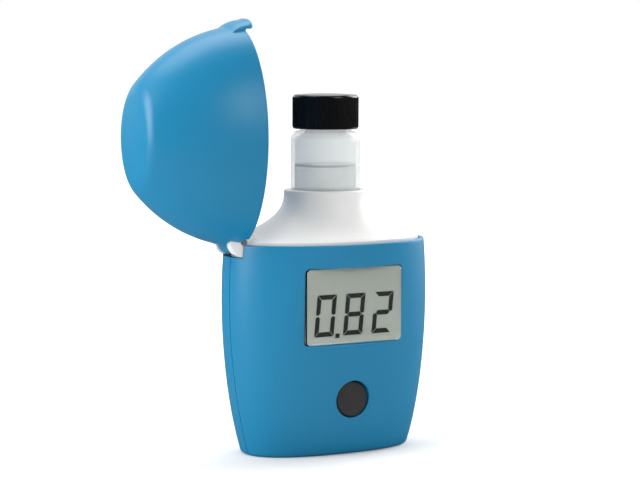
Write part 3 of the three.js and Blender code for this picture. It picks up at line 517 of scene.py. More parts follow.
@dataclass(frozen=True)
class Finish:
    """A solid finish: moulded plastic, rubber or plated metal."""

    name: str
    colour: Colour
    shade: Colour
    roughness: float = 0.35
    metallic: float = 0.0
    grain_scale: float = 900.0
    grain_depth: float = 0.02
    drift: float = 45.0
    handling: float = 0.06
    dust: float = 0.0
    coat: float = 0.0
    subsurface: float = 0.0
    specular: float = 0.5

    def material(self) -> bpy.types.Material:
        """Builds the finish once.

        Returns:
            The material.
        """
        if self.name in bpy.data.materials:
            return bpy.data.materials[self.name]
        material, tree, shader, place = started(self.name)
        grain = grouped(tree, GRAIN, Vector=place, Scale=self.grain_scale, Drift=self.drift)
        marks = grouped(tree, HANDLING, Vector=place, Amount=self.handling)
        tint = wired(tree, "ShaderNodeMix", {"data_type": "RGBA"})
        tree.links.new(grain.outputs["Mask"], tint.inputs[0])
        tint.inputs[6].default_value = (*self.shade, 1)
        tint.inputs[7].default_value = (*self.colour, 1)
        dusty = wired(
            tree, "ShaderNodeMath", {"operation": "MULTIPLY"}, i0=marks.outputs["Dust"], i1=self.dust
        )
        top = wired(tree, "ShaderNodeMix", {"data_type": "RGBA"})
        tree.links.new(dusty.outputs[0], top.inputs[0])
        tree.links.new(tint.outputs[2], top.inputs[6])
        top.inputs[7].default_value = (0.6, 0.6, 0.58, 1)
        tree.links.new(top.outputs[2], shader.inputs["Base Color"])
        rough = wired(
            tree, "ShaderNodeMath", {"operation": "ADD", "use_clamp": True},
            i0=marks.outputs["Roughness Shift"], i1=self.roughness,
        )
        tree.links.new(rough.outputs[0], shader.inputs["Roughness"])
        bump = wired(
            tree, "ShaderNodeBump", Strength=1.0, Distance=self.grain_depth * MM,
            Height=grain.outputs["Height"]
        )
        tree.links.new(bump.outputs[0], shader.inputs["Normal"])
        shader.inputs["Metallic"].default_value = self.metallic
        shader.inputs["Specular IOR Level"].default_value = self.specular
        if self.coat:
            shader.inputs["Coat Weight"].default_value = self.coat
            shader.inputs["Coat Roughness"].default_value = 0.08
        if self.subsurface:
            shader.inputs["Subsurface Weight"].default_value = self.subsurface
            shader.inputs["Subsurface Radius"].default_value = (1.0, 0.9, 0.8)
            shader.inputs["Subsurface Scale"].default_value = 0.6 * MM
        return material


@dataclass(frozen=True)
class ClearFinish:
    """Glass, water or clear plastic."""

    name: str
    colour: Colour
    ior: float
    roughness: float = 0.0
    ripple: float = 0.0
    ripple_scale: float = 120.0

    def material(self) -> bpy.types.Material:
        """Builds the finish once, with a faint ripple in its surface.

        Returns:
            The material.
        """
        if self.name in bpy.data.materials:
            return bpy.data.materials[self.name]
        material, tree, shader, place = started(self.name)
        wave = wired(tree, "ShaderNodeTexNoise", Vector=place, Scale=self.ripple_scale, Detail=2.0)
        bump = wired(tree, "ShaderNodeBump", Strength=1.0, Distance=self.ripple * MM, Height=wave.outputs[0])
        tree.links.new(bump.outputs[0], shader.inputs["Normal"])
        film = wired(
            tree, "ShaderNodeMapRange", Value=wave.outputs[0],
            To_Min=self.roughness, To_Max=self.roughness + 0.004,
        )
        tree.links.new(film.outputs[0], shader.inputs["Roughness"])
        shader.inputs["Base Color"].default_value = (*self.colour, 1)
        shader.inputs["IOR"].default_value = self.ior
        shader.inputs["Transmission Weight"].default_value = 1.0
        output = tree.nodes["Material Output"]
        clear = wired(tree, "ShaderNodeBsdfTransparent", Color=(*[0.5 + 0.5 * c for c in self.colour], 1))
        path = tree.nodes.new("ShaderNodeLightPath")
        blend = tree.nodes.new("ShaderNodeMixShader")
        tree.links.new(path.outputs["Is Shadow Ray"], blend.inputs[0])
        tree.links.new(shader.outputs[0], blend.inputs[1])
        tree.links.new(clear.outputs[0], blend.inputs[2])
        tree.links.new(blend.outputs[0], output.inputs["Surface"])
        return material


@dataclass(frozen=True)
class BoardFinish:
    """Solder mask over copper tracks."""

    name: str = "solder_mask"
    mask: Colour = (0.012, 0.13, 0.045)
    track: Colour = (0.03, 0.24, 0.08)
    pad: Colour = (0.75, 0.62, 0.35)

    def material(self) -> bpy.types.Material:
        """Builds the finish once.

        Returns:
            The material.
        """
        if self.name in bpy.data.materials:
            return bpy.data.materials[self.name]
        material, tree, shader, place = started(self.name)
        lines = wired(tree, "ShaderNodeTexBrick", Vector=place, Scale=320.0, Mortar_Size=0.05)
        lines.inputs["Color1"].default_value = (*self.mask, 1)
        lines.inputs["Color2"].default_value = (*self.mask, 1)
        lines.inputs["Mortar"].default_value = (*self.track, 1)
        spots = wired(tree, "ShaderNodeTexVoronoi", Vector=place, Scale=240.0)
        plated = wired(tree, "ShaderNodeMapRange", Value=spots.outputs[0], From_Min=0.13, From_Max=0.11)
        colour = wired(tree, "ShaderNodeMix", {"data_type": "RGBA"})
        tree.links.new(plated.outputs[0], colour.inputs[0])
        tree.links.new(lines.outputs[0], colour.inputs[6])
        colour.inputs[7].default_value = (*self.pad, 1)
        tree.links.new(colour.outputs[2], shader.inputs["Base Color"])
        tree.links.new(plated.outputs[0], shader.inputs["Metallic"])
        shader.inputs["Roughness"].default_value = 0.35
        return material


@dataclass(frozen=True)
class SleeveFinish:
    """A battery's metallic sleeve: a dark body with a band at its positive end."""

    name: str = "battery_sleeve"
    body: Colour = (0.03, 0.035, 0.04)
    band: Colour = (0.55, 0.33, 0.12)
    band_z: float = 0.036

    def material(self) -> bpy.types.Material:
        """Builds the finish once.

        Returns:
            The material.
        """
        if self.name in bpy.data.materials:
            return bpy.data.materials[self.name]
        material, tree, shader, place = started(self.name)
        split = wired(tree, "ShaderNodeSeparateXYZ", Vector=place)
        edge = wired(
            tree, "ShaderNodeMapRange", Value=split.outputs[2],
            From_Min=self.band_z, From_Max=self.band_z + 0.0001,
        )
        colour = wired(tree, "ShaderNodeMix", {"data_type": "RGBA"})
        tree.links.new(edge.outputs[0], colour.inputs[0])
        colour.inputs[6].default_value = (*self.body, 1)
        colour.inputs[7].default_value = (*self.band, 1)
        tree.links.new(colour.outputs[2], shader.inputs["Base Color"])
        marks = grouped(tree, HANDLING, Vector=place, Amount=0.15)
        rough = wired(tree, "ShaderNodeMath", {"operation": "ADD"}, i0=marks.outputs[0], i1=0.22)
        tree.links.new(rough.outputs[0], shader.inputs["Roughness"])
        shader.inputs["Metallic"].default_value = 0.7
        return material


BLUE = Finish(
    "blue_shell", (0.003, 0.205, 0.394), (0.003, 0.195, 0.379), 0.36, grain_scale=1400, grain_depth=0.006,
    handling=0.05, dust=0.02
)
WHITE = Finish(
    "white_frame", (0.80, 0.80, 0.785), (0.78, 0.78, 0.77), 0.38, grain_scale=1400, grain_depth=0.006,
    handling=0.05, dust=0.01, subsurface=0.15
)
CAP = Finish(
    "black_cap", (0.003, 0.003, 0.0035), (0.004, 0.004, 0.0045), 0.2, grain_scale=1800, grain_depth=0.004,
    handling=0.08, dust=0.04
)
BUTTON = Finish(
    "button_rubber", (0.034, 0.032, 0.031), (0.028, 0.027, 0.026), 0.62, grain_scale=1500, grain_depth=0.02,
    handling=0.1, dust=0.05
)
INNER = Finish(
    "inner_moulding", (0.018, 0.019, 0.02), (0.024, 0.025, 0.026), 0.6, grain_depth=0.02, dust=0.03
)
RUBBER = Finish("soft_rubber", (0.03, 0.03, 0.032), (0.04, 0.04, 0.042), 0.8, grain_depth=0.03, dust=0.05)
STEEL = Finish(
    "plated_steel", (0.62, 0.63, 0.65), (0.54, 0.55, 0.57), 0.24, metallic=1.0, grain_scale=700,
    grain_depth=0.004, handling=0.12
)
BRASS = Finish(
    "plated_brass", (0.72, 0.52, 0.22), (0.66, 0.47, 0.19), 0.28, metallic=1.0, grain_depth=0.004,
    handling=0.12
)
EPOXY = Finish("chip_epoxy", (0.012, 0.012, 0.013), (0.016, 0.016, 0.017), 0.5, grain_depth=0.015)
STOPPER = Finish(
    "stopper_plastic", (0.80, 0.82, 0.81), (0.76, 0.78, 0.77), 0.35, grain_depth=0.005, subsurface=0.3
)
CRYSTAL = Finish(
    "crystal_reflector", (0.60, 0.66, 0.59), (0.58, 0.64, 0.57), 0.7, grain_scale=2600, grain_depth=0.004,
    drift=80, handling=0.02
)
SEGMENT = Finish(
    "dark_segment", (0.004, 0.006, 0.005), (0.005, 0.007, 0.006), 0.7, grain_depth=0.002, specular=0.0
)
GLASS = ClearFinish("clear_glass", (0.935, 0.94, 0.935), 1.5, ripple=0.004)
WATER = ClearFinish("clear_water", (0.97, 0.976, 0.976), 1.333)
LENS = ClearFinish("clear_window", (0.985, 0.99, 0.985), 1.46, ripple=0.002)
FILTER = ClearFinish("filter_glass", (0.75, 0.95, 0.6), 1.52)
LAMP = ClearFinish("lamp_lens", (0.9, 0.95, 0.9), 1.5)


def dressed(
    subject: bpy.types.Object, finish: Finish | ClearFinish | SleeveFinish, slot: str, body: str, *nodes: str
) -> bpy.types.Object:
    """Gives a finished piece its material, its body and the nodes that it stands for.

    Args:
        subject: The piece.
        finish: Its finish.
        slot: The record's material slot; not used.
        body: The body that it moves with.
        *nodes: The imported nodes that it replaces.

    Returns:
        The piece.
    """
    subject.data.materials.clear()
    subject.data.materials.append(finish.material())
    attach(subject, body)
    if nodes:
        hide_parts(*nodes)
    log.info("%s: %d faces on %s", subject.name, len(subject.data.polygons), body)
    return subject


# ---------------------------------------------------------------- geometry node trees


class Tree:
    """A geometry node tree that starts empty and ends in Realize Instances and Set Material."""

    def __init__(self, name: str, inputs: Iterable[tuple[str, str, object]]) -> None:
        """Makes the tree and its input sockets, each given as name, socket type and default."""
        self.tree = bpy.data.node_groups.new(name, "GeometryNodeTree")
        self.ids: dict[str, str] = {}
        for label, kind, default in inputs:
            socket = self.tree.interface.new_socket(label, in_out="INPUT", socket_type=kind)
            if default is not None:
                socket.default_value = default
            self.ids[label] = socket.identifier
        material = self.tree.interface.new_socket(
            "Material", in_out="INPUT", socket_type="NodeSocketMaterial"
        )
        self.ids["Material"] = material.identifier
        self.tree.interface.new_socket("Geometry", in_out="OUTPUT", socket_type="NodeSocketGeometry")
        self.given = self.tree.nodes.new("NodeGroupInput")
        self.made = self.tree.nodes.new("NodeGroupOutput")

    def add(self, kind: str, settings: dict | None = None, **inputs: object) -> bpy.types.Node:
        """Adds a node, as wired does. Returns the node."""
        return wired(self.tree, kind, settings, **inputs)

    def value(self, label: str) -> bpy.types.NodeSocket:
        """The socket that carries an input's value."""
        return self.given.outputs[label]

    def close(self, geometry: bpy.types.NodeSocket) -> "Tree":
        """Ends the tree. Takes the geometry socket that is the result. Returns the tree."""
        real = self.add("GeometryNodeRealizeInstances", Geometry=geometry)
        painted = self.add(
            "GeometryNodeSetMaterial", Geometry=real.outputs[0], Material=self.value("Material")
        )
        self.tree.links.new(painted.outputs[0], self.made.inputs[0])
        return self

    def run(self, name: str, start: bpy.types.Object | None, finish: Finish, **values: object) -> bpy.types.Object:
        """Evaluates the tree into a plain mesh.

        Args:
            name: The new object's name.
            start: The object that the tree starts from, or None for an empty one.
            finish: The finish that Set Material writes.
            **values: Values of the tree's inputs by name, with underscores for spaces.

        Returns:
            An object with a plain mesh and no modifier.
        """
        if start is None:
            start = bpy.data.objects.new(name, bpy.data.meshes.new(name))
            bpy.context.scene.collection.objects.link(start)
        start.name = name
        modifier = start.modifiers.new("tree", "NODES")
        modifier.node_group = self.tree
        for label, value in values.items():
            modifier[self.ids[label.replace("_", " ")]] = value
        modifier[self.ids["Material"]] = finish.material()
        return frozen(start)


def rib_tree() -> Tree:
    """Half-round ribs standing in a circle about +Z.

    Returns:
        The tree.
    """
    tree = Tree(
        "ribs_in_a_circle",
        [
            ("Count", "NodeSocketInt", 72),
            ("Circle Radius", "NodeSocketFloat", 0.009),
            ("Rib Radius", "NodeSocketFloat", 0.0003),
            ("Rib Height", "NodeSocketFloat", 0.008),
            ("Middle Height", "NodeSocketFloat", 0.09),
        ],
    )
    ring = tree.add(
        "GeometryNodeMeshCircle", {"fill_type": "NONE"}, Vertices=tree.value("Count"),
        Radius=tree.value("Circle Radius")
    )
    rib = tree.add(
        "GeometryNodeMeshCylinder", {"fill_type": "NGON"}, Vertices=8, Side_Segments=1, Fill_Segments=1,
        Radius=tree.value("Rib Radius"), Depth=tree.value("Rib Height"),
    )
    placed = tree.add("GeometryNodeInstanceOnPoints", Points=ring.outputs[0], Instance=rib.outputs[0])
    lift = tree.add("ShaderNodeCombineXYZ", Z=tree.value("Middle Height"))
    raised = tree.add("GeometryNodeTransform", Geometry=placed.outputs[0], Translation=lift.outputs[0])
    return tree.close(raised.outputs[0])


def screw_tree() -> Tree:
    """A cross-recessed screw on each point of the start mesh, its head along +Z after a turn.

    Returns:
        The tree.
    """
    tree = Tree(
        "cross_recess_screws",
        [
            ("Seats", "NodeSocketGeometry", None),
            ("Head Radius", "NodeSocketFloat", 0.0019),
            ("Head Height", "NodeSocketFloat", 0.0012),
            ("Shank Radius", "NodeSocketFloat", 0.0009),
            ("Shank Length", "NodeSocketFloat", 0.005),
            ("Recess", "NodeSocketVector", (0.0026, 0.0005, 0.0012)),
            ("Turn", "NodeSocketVector", (0.0, 0.0, 0.0)),
        ],
    )
    head = tree.add(
        "GeometryNodeMeshCone", {"fill_type": "NGON"}, Vertices=40, Radius_Top=0.0013,
        Radius_Bottom=tree.value("Head Radius"), Depth=tree.value("Head Height"),
    )
    down = tree.add("ShaderNodeMath", {"operation": "MULTIPLY"}, i0=tree.value("Shank Length"), i1=-0.5)
    shank_place = tree.add("ShaderNodeCombineXYZ", Z=down.outputs[0])
    shank = tree.add(
        "GeometryNodeMeshCylinder", {"fill_type": "NGON"}, Vertices=24,
        Radius=tree.value("Shank Radius"), Depth=tree.value("Shank Length"),
    )
    shank_down = tree.add(
        "GeometryNodeTransform", Geometry=shank.outputs[0], Translation=shank_place.outputs[0]
    )
    bar = tree.add("GeometryNodeMeshCube", Size=tree.value("Recess"))
    up = tree.add("ShaderNodeCombineXYZ", Z=tree.value("Head Height"))
    bar_up = tree.add("GeometryNodeTransform", Geometry=bar.outputs[0], Translation=up.outputs[0])
    cross = tree.add("GeometryNodeTransform", Geometry=bar_up.outputs[0], Rotation=(0.0, 0.0, math.pi / 2))
    cutters = tree.add("GeometryNodeJoinGeometry")
    tree.tree.links.new(bar_up.outputs[0], cutters.inputs[0])
    tree.tree.links.new(cross.outputs[0], cutters.inputs[0])
    cut = tree.add("GeometryNodeMeshBoolean", {"operation": "DIFFERENCE"})
    tree.tree.links.new(head.outputs[0], cut.inputs["Mesh 1"])
    tree.tree.links.new(cutters.outputs[0], cut.inputs["Mesh 2"])
    whole = tree.add("GeometryNodeMeshBoolean", {"operation": "UNION"})
    tree.tree.links.new(cut.outputs[0], whole.inputs["Mesh 2"])
    tree.tree.links.new(shank_down.outputs[0], whole.inputs["Mesh 2"])
    placed = tree.add(
        "GeometryNodeInstanceOnPoints", Points=tree.value("Seats"), Instance=whole.outputs[0],
        Rotation=tree.value("Turn"),
    )
    return tree.close(placed.outputs[0])


def coil_tree() -> Tree:
    """Round wire wound about +Z, straight or conical.

    Returns:
        The tree.
    """
    tree = Tree(
        "wound_wire",
        [
            ("Turns", "NodeSocketFloat", 6.0),
            ("Start Radius", "NodeSocketFloat", 0.004),
            ("End Radius", "NodeSocketFloat", 0.004),
            ("Length", "NodeSocketFloat", 0.02),
            ("Wire Radius", "NodeSocketFloat", 0.00035),
            ("Start Point", "NodeSocketVector", (0.0, 0.0, 0.0)),
        ],
    )
    spiral = tree.add(
        "GeometryNodeCurveSpiral", Resolution=40, Rotations=tree.value("Turns"),
        Start_Radius=tree.value("Start Radius"), End_Radius=tree.value("End Radius"),
        Height=tree.value("Length"),
    )
    section = tree.add("GeometryNodeCurvePrimitiveCircle", {"mode": "RADIUS"}, Resolution=12)
    tree.tree.links.new(tree.value("Wire Radius"), section.inputs["Radius"])
    wire = tree.add(
        "GeometryNodeCurveToMesh", Curve=spiral.outputs[0], Profile_Curve=section.outputs[0], Fill_Caps=True
    )
    placed = tree.add(
        "GeometryNodeTransform", Geometry=wire.outputs[0], Translation=tree.value("Start Point")
    )
    return tree.close(placed.outputs[0])


# ---------------------------------------------------------------- the case


@dataclass
class Case:
    """The two blue shells with their openings, and the screws that hold them."""

    outline: CaseOutline = field(default_factory=CaseOutline)
    wall: float = 1.8
    floor: float = 2.0
    lip_wall: float = 1.2
    ledge_drop: float = 2.0
    base_edge: float = 0.9
    rim_edge: float = 0.25
    parting_y: float = -1.5
    parting_gap: float = 0.2
    opening_round: float = 0.4
    display_corner: float = 1.1
    button_hole: float = 4.95
    screw_recess: float = 2.05
    boss: float = 2.9
    screw_head: float = 1.3

    def barrel(self, name: str) -> bpy.types.Object:
        """The whole case before it is parted. Args: the object's name. Returns the solid."""
        shape, rim = self.outline, self.outline.rim_z
        rings = []
        for step in range(7):
            angle = math.radians(15 * step)
            inset = self.base_edge * (1 - math.sin(angle))
            rings.append(shape.ring(self.base_edge * (1 - math.cos(angle)), inset))
        levels = 84
        top = rim - self.rim_edge
        rings += [
            shape.ring(self.base_edge + (top - self.base_edge) * level / levels) for level in range(1,
            levels + 1)
        ]
        for step in range(1, 4):
            angle = math.radians(30 * step)
            rings.append(
                shape.ring(top + self.rim_edge * math.sin(angle), self.rim_edge * (1 - math.cos(angle)))
            )
        ledge = rim - self.ledge_drop
        rings.append(shape.ring(rim, self.lip_wall - 0.12))
        rings.append(shape.ring(rim - 0.12, self.lip_wall))
        rings.append(shape.ring(ledge, self.lip_wall))
        rings.append(shape.ring(ledge, self.wall))
        inner = 14
        rings += [
            shape.ring(ledge + (self.floor - ledge) * level / inner, self.wall) for level in range(1,
            inner + 1)
        ]
        return Draft().loft(rings).build(name)

    def following(self, outline: Callable[[float], list[tuple[float, float]]], side: float, inner_y: float) -> bpy.types.Object:
        """A cutter for an opening in the front or the back, with a rounded mouth that follows the case.

        Args:
            outline: Gives the opening's outline in x and z, grown by a distance.
            side: -1 for the front and 1 for the back.
            inner_y: Where the cutter ends inside, in y.

        Returns:
            The cutter.
        """
        radius = self.opening_round
        rings = [[(x, inner_y, z) for x, z in outline(0.0)]]
        for step in range(6):
            angle = math.radians(15 * step)
            grow = radius * (1 - math.cos(angle))
            depth = radius * (1 - math.sin(angle))
            rings.append([(x, side * (self.outline.face_y(x, z) - depth), z) for x, z in outline(grow)])
        tail = 3.0
        slope = math.tan(math.radians(75)) * radius
        rings.append(
            [(x, side * (self.outline.face_y(x, z) + radius * 0.6), z) for x,
            z in outline(slope * 0.6 + radius)]
        )
        rings.append(
            [(x, side * (self.outline.face_y(x, z) + tail), z) for x, z in outline(slope * 0.6 + radius)]
        )
        return Draft().loft(rings).build("cutter")

    def round_outline(self, x0: float, z0: float, radius: float) -> Callable[
        [float], list[tuple[float, float]]
    ]:
        """The outline of a round hole. Args: its centre in x and z, and its radius. Returns the outline by growth."""
        def grown(grow: float) -> list[tuple[float, float]]:
            """The outline grown by a distance."""
            return [(x0 + x, z0 + z) for x, z, _ in circle(radius + grow, 72)]
        return grown

    def half(self, name: str, low_y: float, high_y: float) -> bpy.types.Object:
        """One shell: the barrel between two planes, with the notch for the hinge and the cover's opening.

        Args:
            name: The shell's name.
            low_y: The plane it starts at.
            high_y: The plane it ends at.

        Returns:
            The shell.
        """
        shell = self.barrel(name)
        reach = 60.0
        carve(
            shell, Draft().box((-reach, low_y, -reach), (reach, high_y, 2 * reach)).build("slab"),
            Cut.KEEP_INSIDE
        )
        ear_low, ear_high = cad_box("collar_frame")
        notch = Draft().box((ear_low.x - 5, -5.8, Hinge().pivot.z - 4.2), (-21.0, 5.8, ear_high.z)).build(
            "notch"
        )
        carve(shell, notch, Cut.AWAY)
        low, high = cad_box("battery_cover")
        gap = 0.2
        middle = (low + high) / 2
        outline = rounded_rectangle((high.x - low.x) / 2 + gap, (high.y - low.y) / 2 + gap, 5.1)
        rings = [[(middle.x + x, middle.y + y, z) for x, y in outline] for z in (-1.0, self.floor + 1)]
        carve(shell, Draft().loft(rings).build("cover_room"), Cut.AWAY)
        return shell

    def front(self) -> bpy.types.Object:
        """The front shell with the display opening and the button hole.

        Returns:
            The piece.
        """
        shell = self.half("front_case_shell", -60.0, self.parting_y - self.parting_gap / 2)
        low, high = cad_box("display_lens")
        middle = (low + high) / 2
        half_width, half_height = (high.x - low.x) / 2 + 0.15, (high.z - low.z) / 2 + 0.15

        def grown(grow: float) -> list[tuple[float, float]]:
            """The display opening grown by a distance."""
            flat = rounded_rectangle(half_width + grow, half_height + grow, self.display_corner + grow)
            return [(middle.x + x, middle.z + z) for x, z in flat]

        carve(shell, self.following(grown, -1, -8.0), Cut.AWAY)
        button_low, button_high = cad_box("button_cap")
        button = (button_low + button_high) / 2
        carve(
            shell, self.following(self.round_outline(button.x, button.z, self.button_hole), -1, -8.0),
            Cut.AWAY
        )
        return dressed(smoothed(shell), BLUE, "blue_plastic", "case", "front_shell")

    def back(self) -> bpy.types.Object:
        """The rear shell with its bosses and screw recesses.

        Returns:
            The piece.
        """
        shell = self.half("rear_case_shell", self.parting_y + self.parting_gap / 2, 60.0)
        for number in range(1, 5):
            low, high = cad_box(f"case_screw_{number}")
            middle, seat = (low + high) / 2, high.y - self.screw_head - 0.05
            place = Matrix.Translation((middle.x, seat - 1.6, middle.z)) @ Axis.BACK.matrix()
            boss = Draft().turned([(self.boss, 0.0), (self.boss, 14.0)], 48).placed(place).build("boss")
            inset = self.wall / 2
            core = [self.outline.ring(z, inset, 96) for z in np.linspace(1.0, self.outline.rim_z, 24)]
            carve(boss, Draft().loft(core).build("core"), Cut.KEEP_INSIDE)
            carve(shell, boss, Cut.JOIN)
            recess = self.following(self.round_outline(middle.x, middle.z, self.screw_recess), 1, seat)
            carve(shell, recess, Cut.AWAY)
            bore = Draft().turned([(1.05, -14.0), (1.05, 2.0)], 24)
            carve(
                shell,
                bore.placed(Matrix.Translation((middle.x, seat,
                middle.z)) @ Axis.BACK.matrix()).build("bore"), Cut.AWAY
            )
        return dressed(smoothed(shell), BLUE, "blue_plastic", "case", "rear_shell")

    def screws(self) -> None:
        """The case screws and the board screws, one mesh for each row of equal screws."""
        tree = screw_tree()
        rows = {
            "case_screws_left": ["case_screw_1", "case_screw_2"],
            "case_screws_right": ["case_screw_3", "case_screw_4"],
            "board_screws": ["board_screw_1", "board_screw_2"],
        }
        for name, nodes in rows.items():
            boxes = [cad_box(node) for node in nodes]
            head = 1.0 if name == "board_screws" else self.screw_head
            seats = [((low.x + high.x) / 2, high.y - head, (low.z + high.z) / 2) for low, high in boxes]
            length = min(high.y - head - low.y for low, high in boxes)
            start = bpy.data.objects.new(name, bpy.data.meshes.new(name))
            start.data.from_pydata([tuple(c * MM for c in seat) for seat in seats], [], [])
            bpy.context.scene.collection.objects.link(start)
            made = tree.run(
                name, start, STEEL, Head_Height=head * MM, Shank_Length=length * MM,
                Turn=(-math.pi / 2, 0.0, 0.0),
            )
            dressed(smoothed(made), STEEL, "steel", "case", *nodes)

    def build(self) -> None:
        """Makes every piece of the case."""
        self.front()
        self.back()
        self.screws()


# ---------------------------------------------------------------- the hinge and the collar


@dataclass
class Hinge:
    """The pin's axis and the sizes of what turns on it."""

    ear_radius: float = 3.9
    ear_inner: float = 3.2
    ear_outer: float = 5.5
    knuckle_radius: float = 3.6
    knuckle_half: float = 2.9
    room: float = 0.3

    @property
    def pivot(self) -> Vector:
        """The middle of the pin's axis."""
        joint = next(j for j in frame["joints"] if j["name"] == "lid_hinge")
        return Vector(joint["pos_m"]) / MM

    def zone(self, radius: float, half: float, edge: float = 0.0, segments: int = 96) -> bpy.types.Object:
        """A cylinder about the pin's axis.

        Args:
            radius: Its radius.
            half: Half of its length.
            edge: How far its rims are rounded.
            segments: Facets round it.

        Returns:
            The solid.
        """
        profile = [(radius, -half), (radius, half)]
        if edge:
            profile = arc((radius - edge, -half + edge), edge, -90, 0) + arc(
                (radius - edge, half - edge), edge, 0, 90
            )
        draft = Draft().turned(profile, segments)
        return draft.placed(Matrix.Translation(self.pivot) @ Axis.BACK.matrix()).build("zone")

    def pin(self) -> bpy.types.Object:
        """The pin, with rounded ends.

        Returns:
            The piece.
        """
        low, high = cad_box("hinge_pin")
        radius = (high.z - low.z) / 2
        pin = self.zone(radius, (high.y - low.y) / 2, 0.25, 32)
        pin.name = "hinge_pin_rod"
        return dressed(smoothed(pin), STEEL, "steel", "case", "hinge_pin")


@dataclass
class Collar:
    """The white frame: flange, flared skirt, round collar and hinge ears, with the seal in its bore."""

    case: Case
    hinge: Hinge
    inset: float = 1.5
    rise: float = 0.8
    radius: float = 11.0
    bore: float = 9.5
    wall: float = 1.5
    flare_power: float = 2.6
    edge: float = 0.5
    seal_cord: float = 0.5
    seal_drop: float = 3.2

    def frame_piece(self) -> bpy.types.Object:
        """The collar frame.

        Returns:
            The piece.
        """
        rim = self.case.outline.rim_z
        low, high = cad_box("collar_frame")
        wide = self.case.outline.half_width(rim) - self.inset
        deep = self.case.outline.half_depth(rim) - self.inset
        flange_z, top, bottom = rim + self.rise, high.z, rim - self.case.ledge_drop + 0.05
        count, levels = 240, 44

        def plan(share: float, z: float, inset: float = 0.0) -> list[Point]:
            """The flared plan: share 1 is the flange and 0 is the round collar."""
            half_width = self.radius + (wide - self.radius) * share - inset
            half_depth = self.radius + (deep - self.radius) * share - inset
            return superellipse(half_width, half_depth, 2.0, z, count)

        def flare(step: int) -> float:
            """The flare's share at a level."""
            return (1 - step / levels) ** self.flare_power

        shoulder = top - self.edge
        rings = [plan(1, bottom, 0.1), plan(1, flange_z - 0.25)]
        rings += [plan(1, flange_z - 0.1, 0.04), plan(1, flange_z, 0.16)]
        for step in range(1, levels + 1):
            rings.append(plan(flare(step), flange_z + (shoulder - flange_z) * step / levels))
        for radius, z in arc((self.radius - self.edge, shoulder), self.edge, 15, 90, 5):
            rings.append(circle(radius, count, z))
        for radius, z in arc((self.bore + 0.35, top - 0.35), 0.35, 90, 180, 5):
            rings.append(circle(radius, count, z))
        seal_z, groove = top - self.seal_drop, self.bore + 1.05
        for radius, z in [
            (self.bore, seal_z + 0.6), (groove, seal_z + 0.6), (groove, seal_z - 0.6),
            (self.bore, seal_z - 0.6)
        ]:
            rings.append(circle(radius, count, z))
        under = [
            step for step in range(levels, -1,
            -2) if self.radius + (deep - self.radius) * flare(step) - self.wall > self.bore + 0.1
        ]
        first = flange_z + (shoulder - flange_z) * under[0] / levels - self.wall
        rings.append(circle(self.bore, count, first))
        for step in under:
            rings.append(
                plan(flare(step), flange_z + (shoulder - flange_z) * step / levels - self.wall, self.wall)
            )
        rings.append(plan(1, bottom, self.wall))
        frame_piece = Draft().loft(rings, closed=True).build("collar_white_frame")
        return self.with_ears(frame_piece, flange_z)

    def with_ears(self, frame_piece: bpy.types.Object, flange_z: float) -> bpy.types.Object:
        """Adds the hinge ears and the trough between them.

        Args:
            frame_piece: The collar before it has ears.
            flange_z: The height of the flange's top.

        Returns:
            The dressed piece.
        """
        hinge, pivot = self.hinge, self.hinge.pivot
        ears = hinge.zone(hinge.ear_radius, hinge.ear_outer, 0.25)
        low_z = pivot.z - hinge.ear_radius - 1.3
        block = Draft().box((pivot.x, -hinge.ear_outer, low_z), (pivot.x + 6, hinge.ear_outer, flange_z - 0.02)).build("block")
        core = [
            self.case.outline.ring(z, self.case.wall + 0.3, 96) for z in np.linspace(40.0, flange_z + 2, 12)
        ]
        carve(block, Draft().loft(core).build("core"), Cut.KEEP_INSIDE)
        carve(ears, block, Cut.JOIN)
        carve(frame_piece, ears, Cut.JOIN)
        carve(frame_piece, hinge.zone(hinge.ear_radius + 0.2, hinge.ear_inner), Cut.AWAY)
        carve(frame_piece, hinge.zone(0.98, 8.0, segments=32), Cut.AWAY)
        return dressed(smoothed(frame_piece), WHITE, "white_plastic", "case", "collar_frame")

    def seal(self) -> bpy.types.Object:
        """The cord ring in the bore's groove.

        Returns:
            The piece.
        """
        low, high = cad_box("well_seal_ring")
        centre = ((high.x - low.x) / 2 - self.seal_cord, (low.z + high.z) / 2)
        ring = Draft().turned(arc(centre, self.seal_cord, 0, 345, 23), 128, closed=True).build(
            "well_seal_cord"
        )
        return dressed(smoothed(ring), RUBBER, "rubber", "case", "well_seal_ring")

    def build(self) -> None:
        """Makes the collar, the seal and the hinge pin."""
        self.frame_piece()
        self.seal()
        self.hinge.pin()


# ---------------------------------------------------------------- the lid


def chord(radius: float, rise: float) -> float:
    """Half the chord of a circle at a height above its middle."""
    return math.sqrt(radius**2 - rise**2)


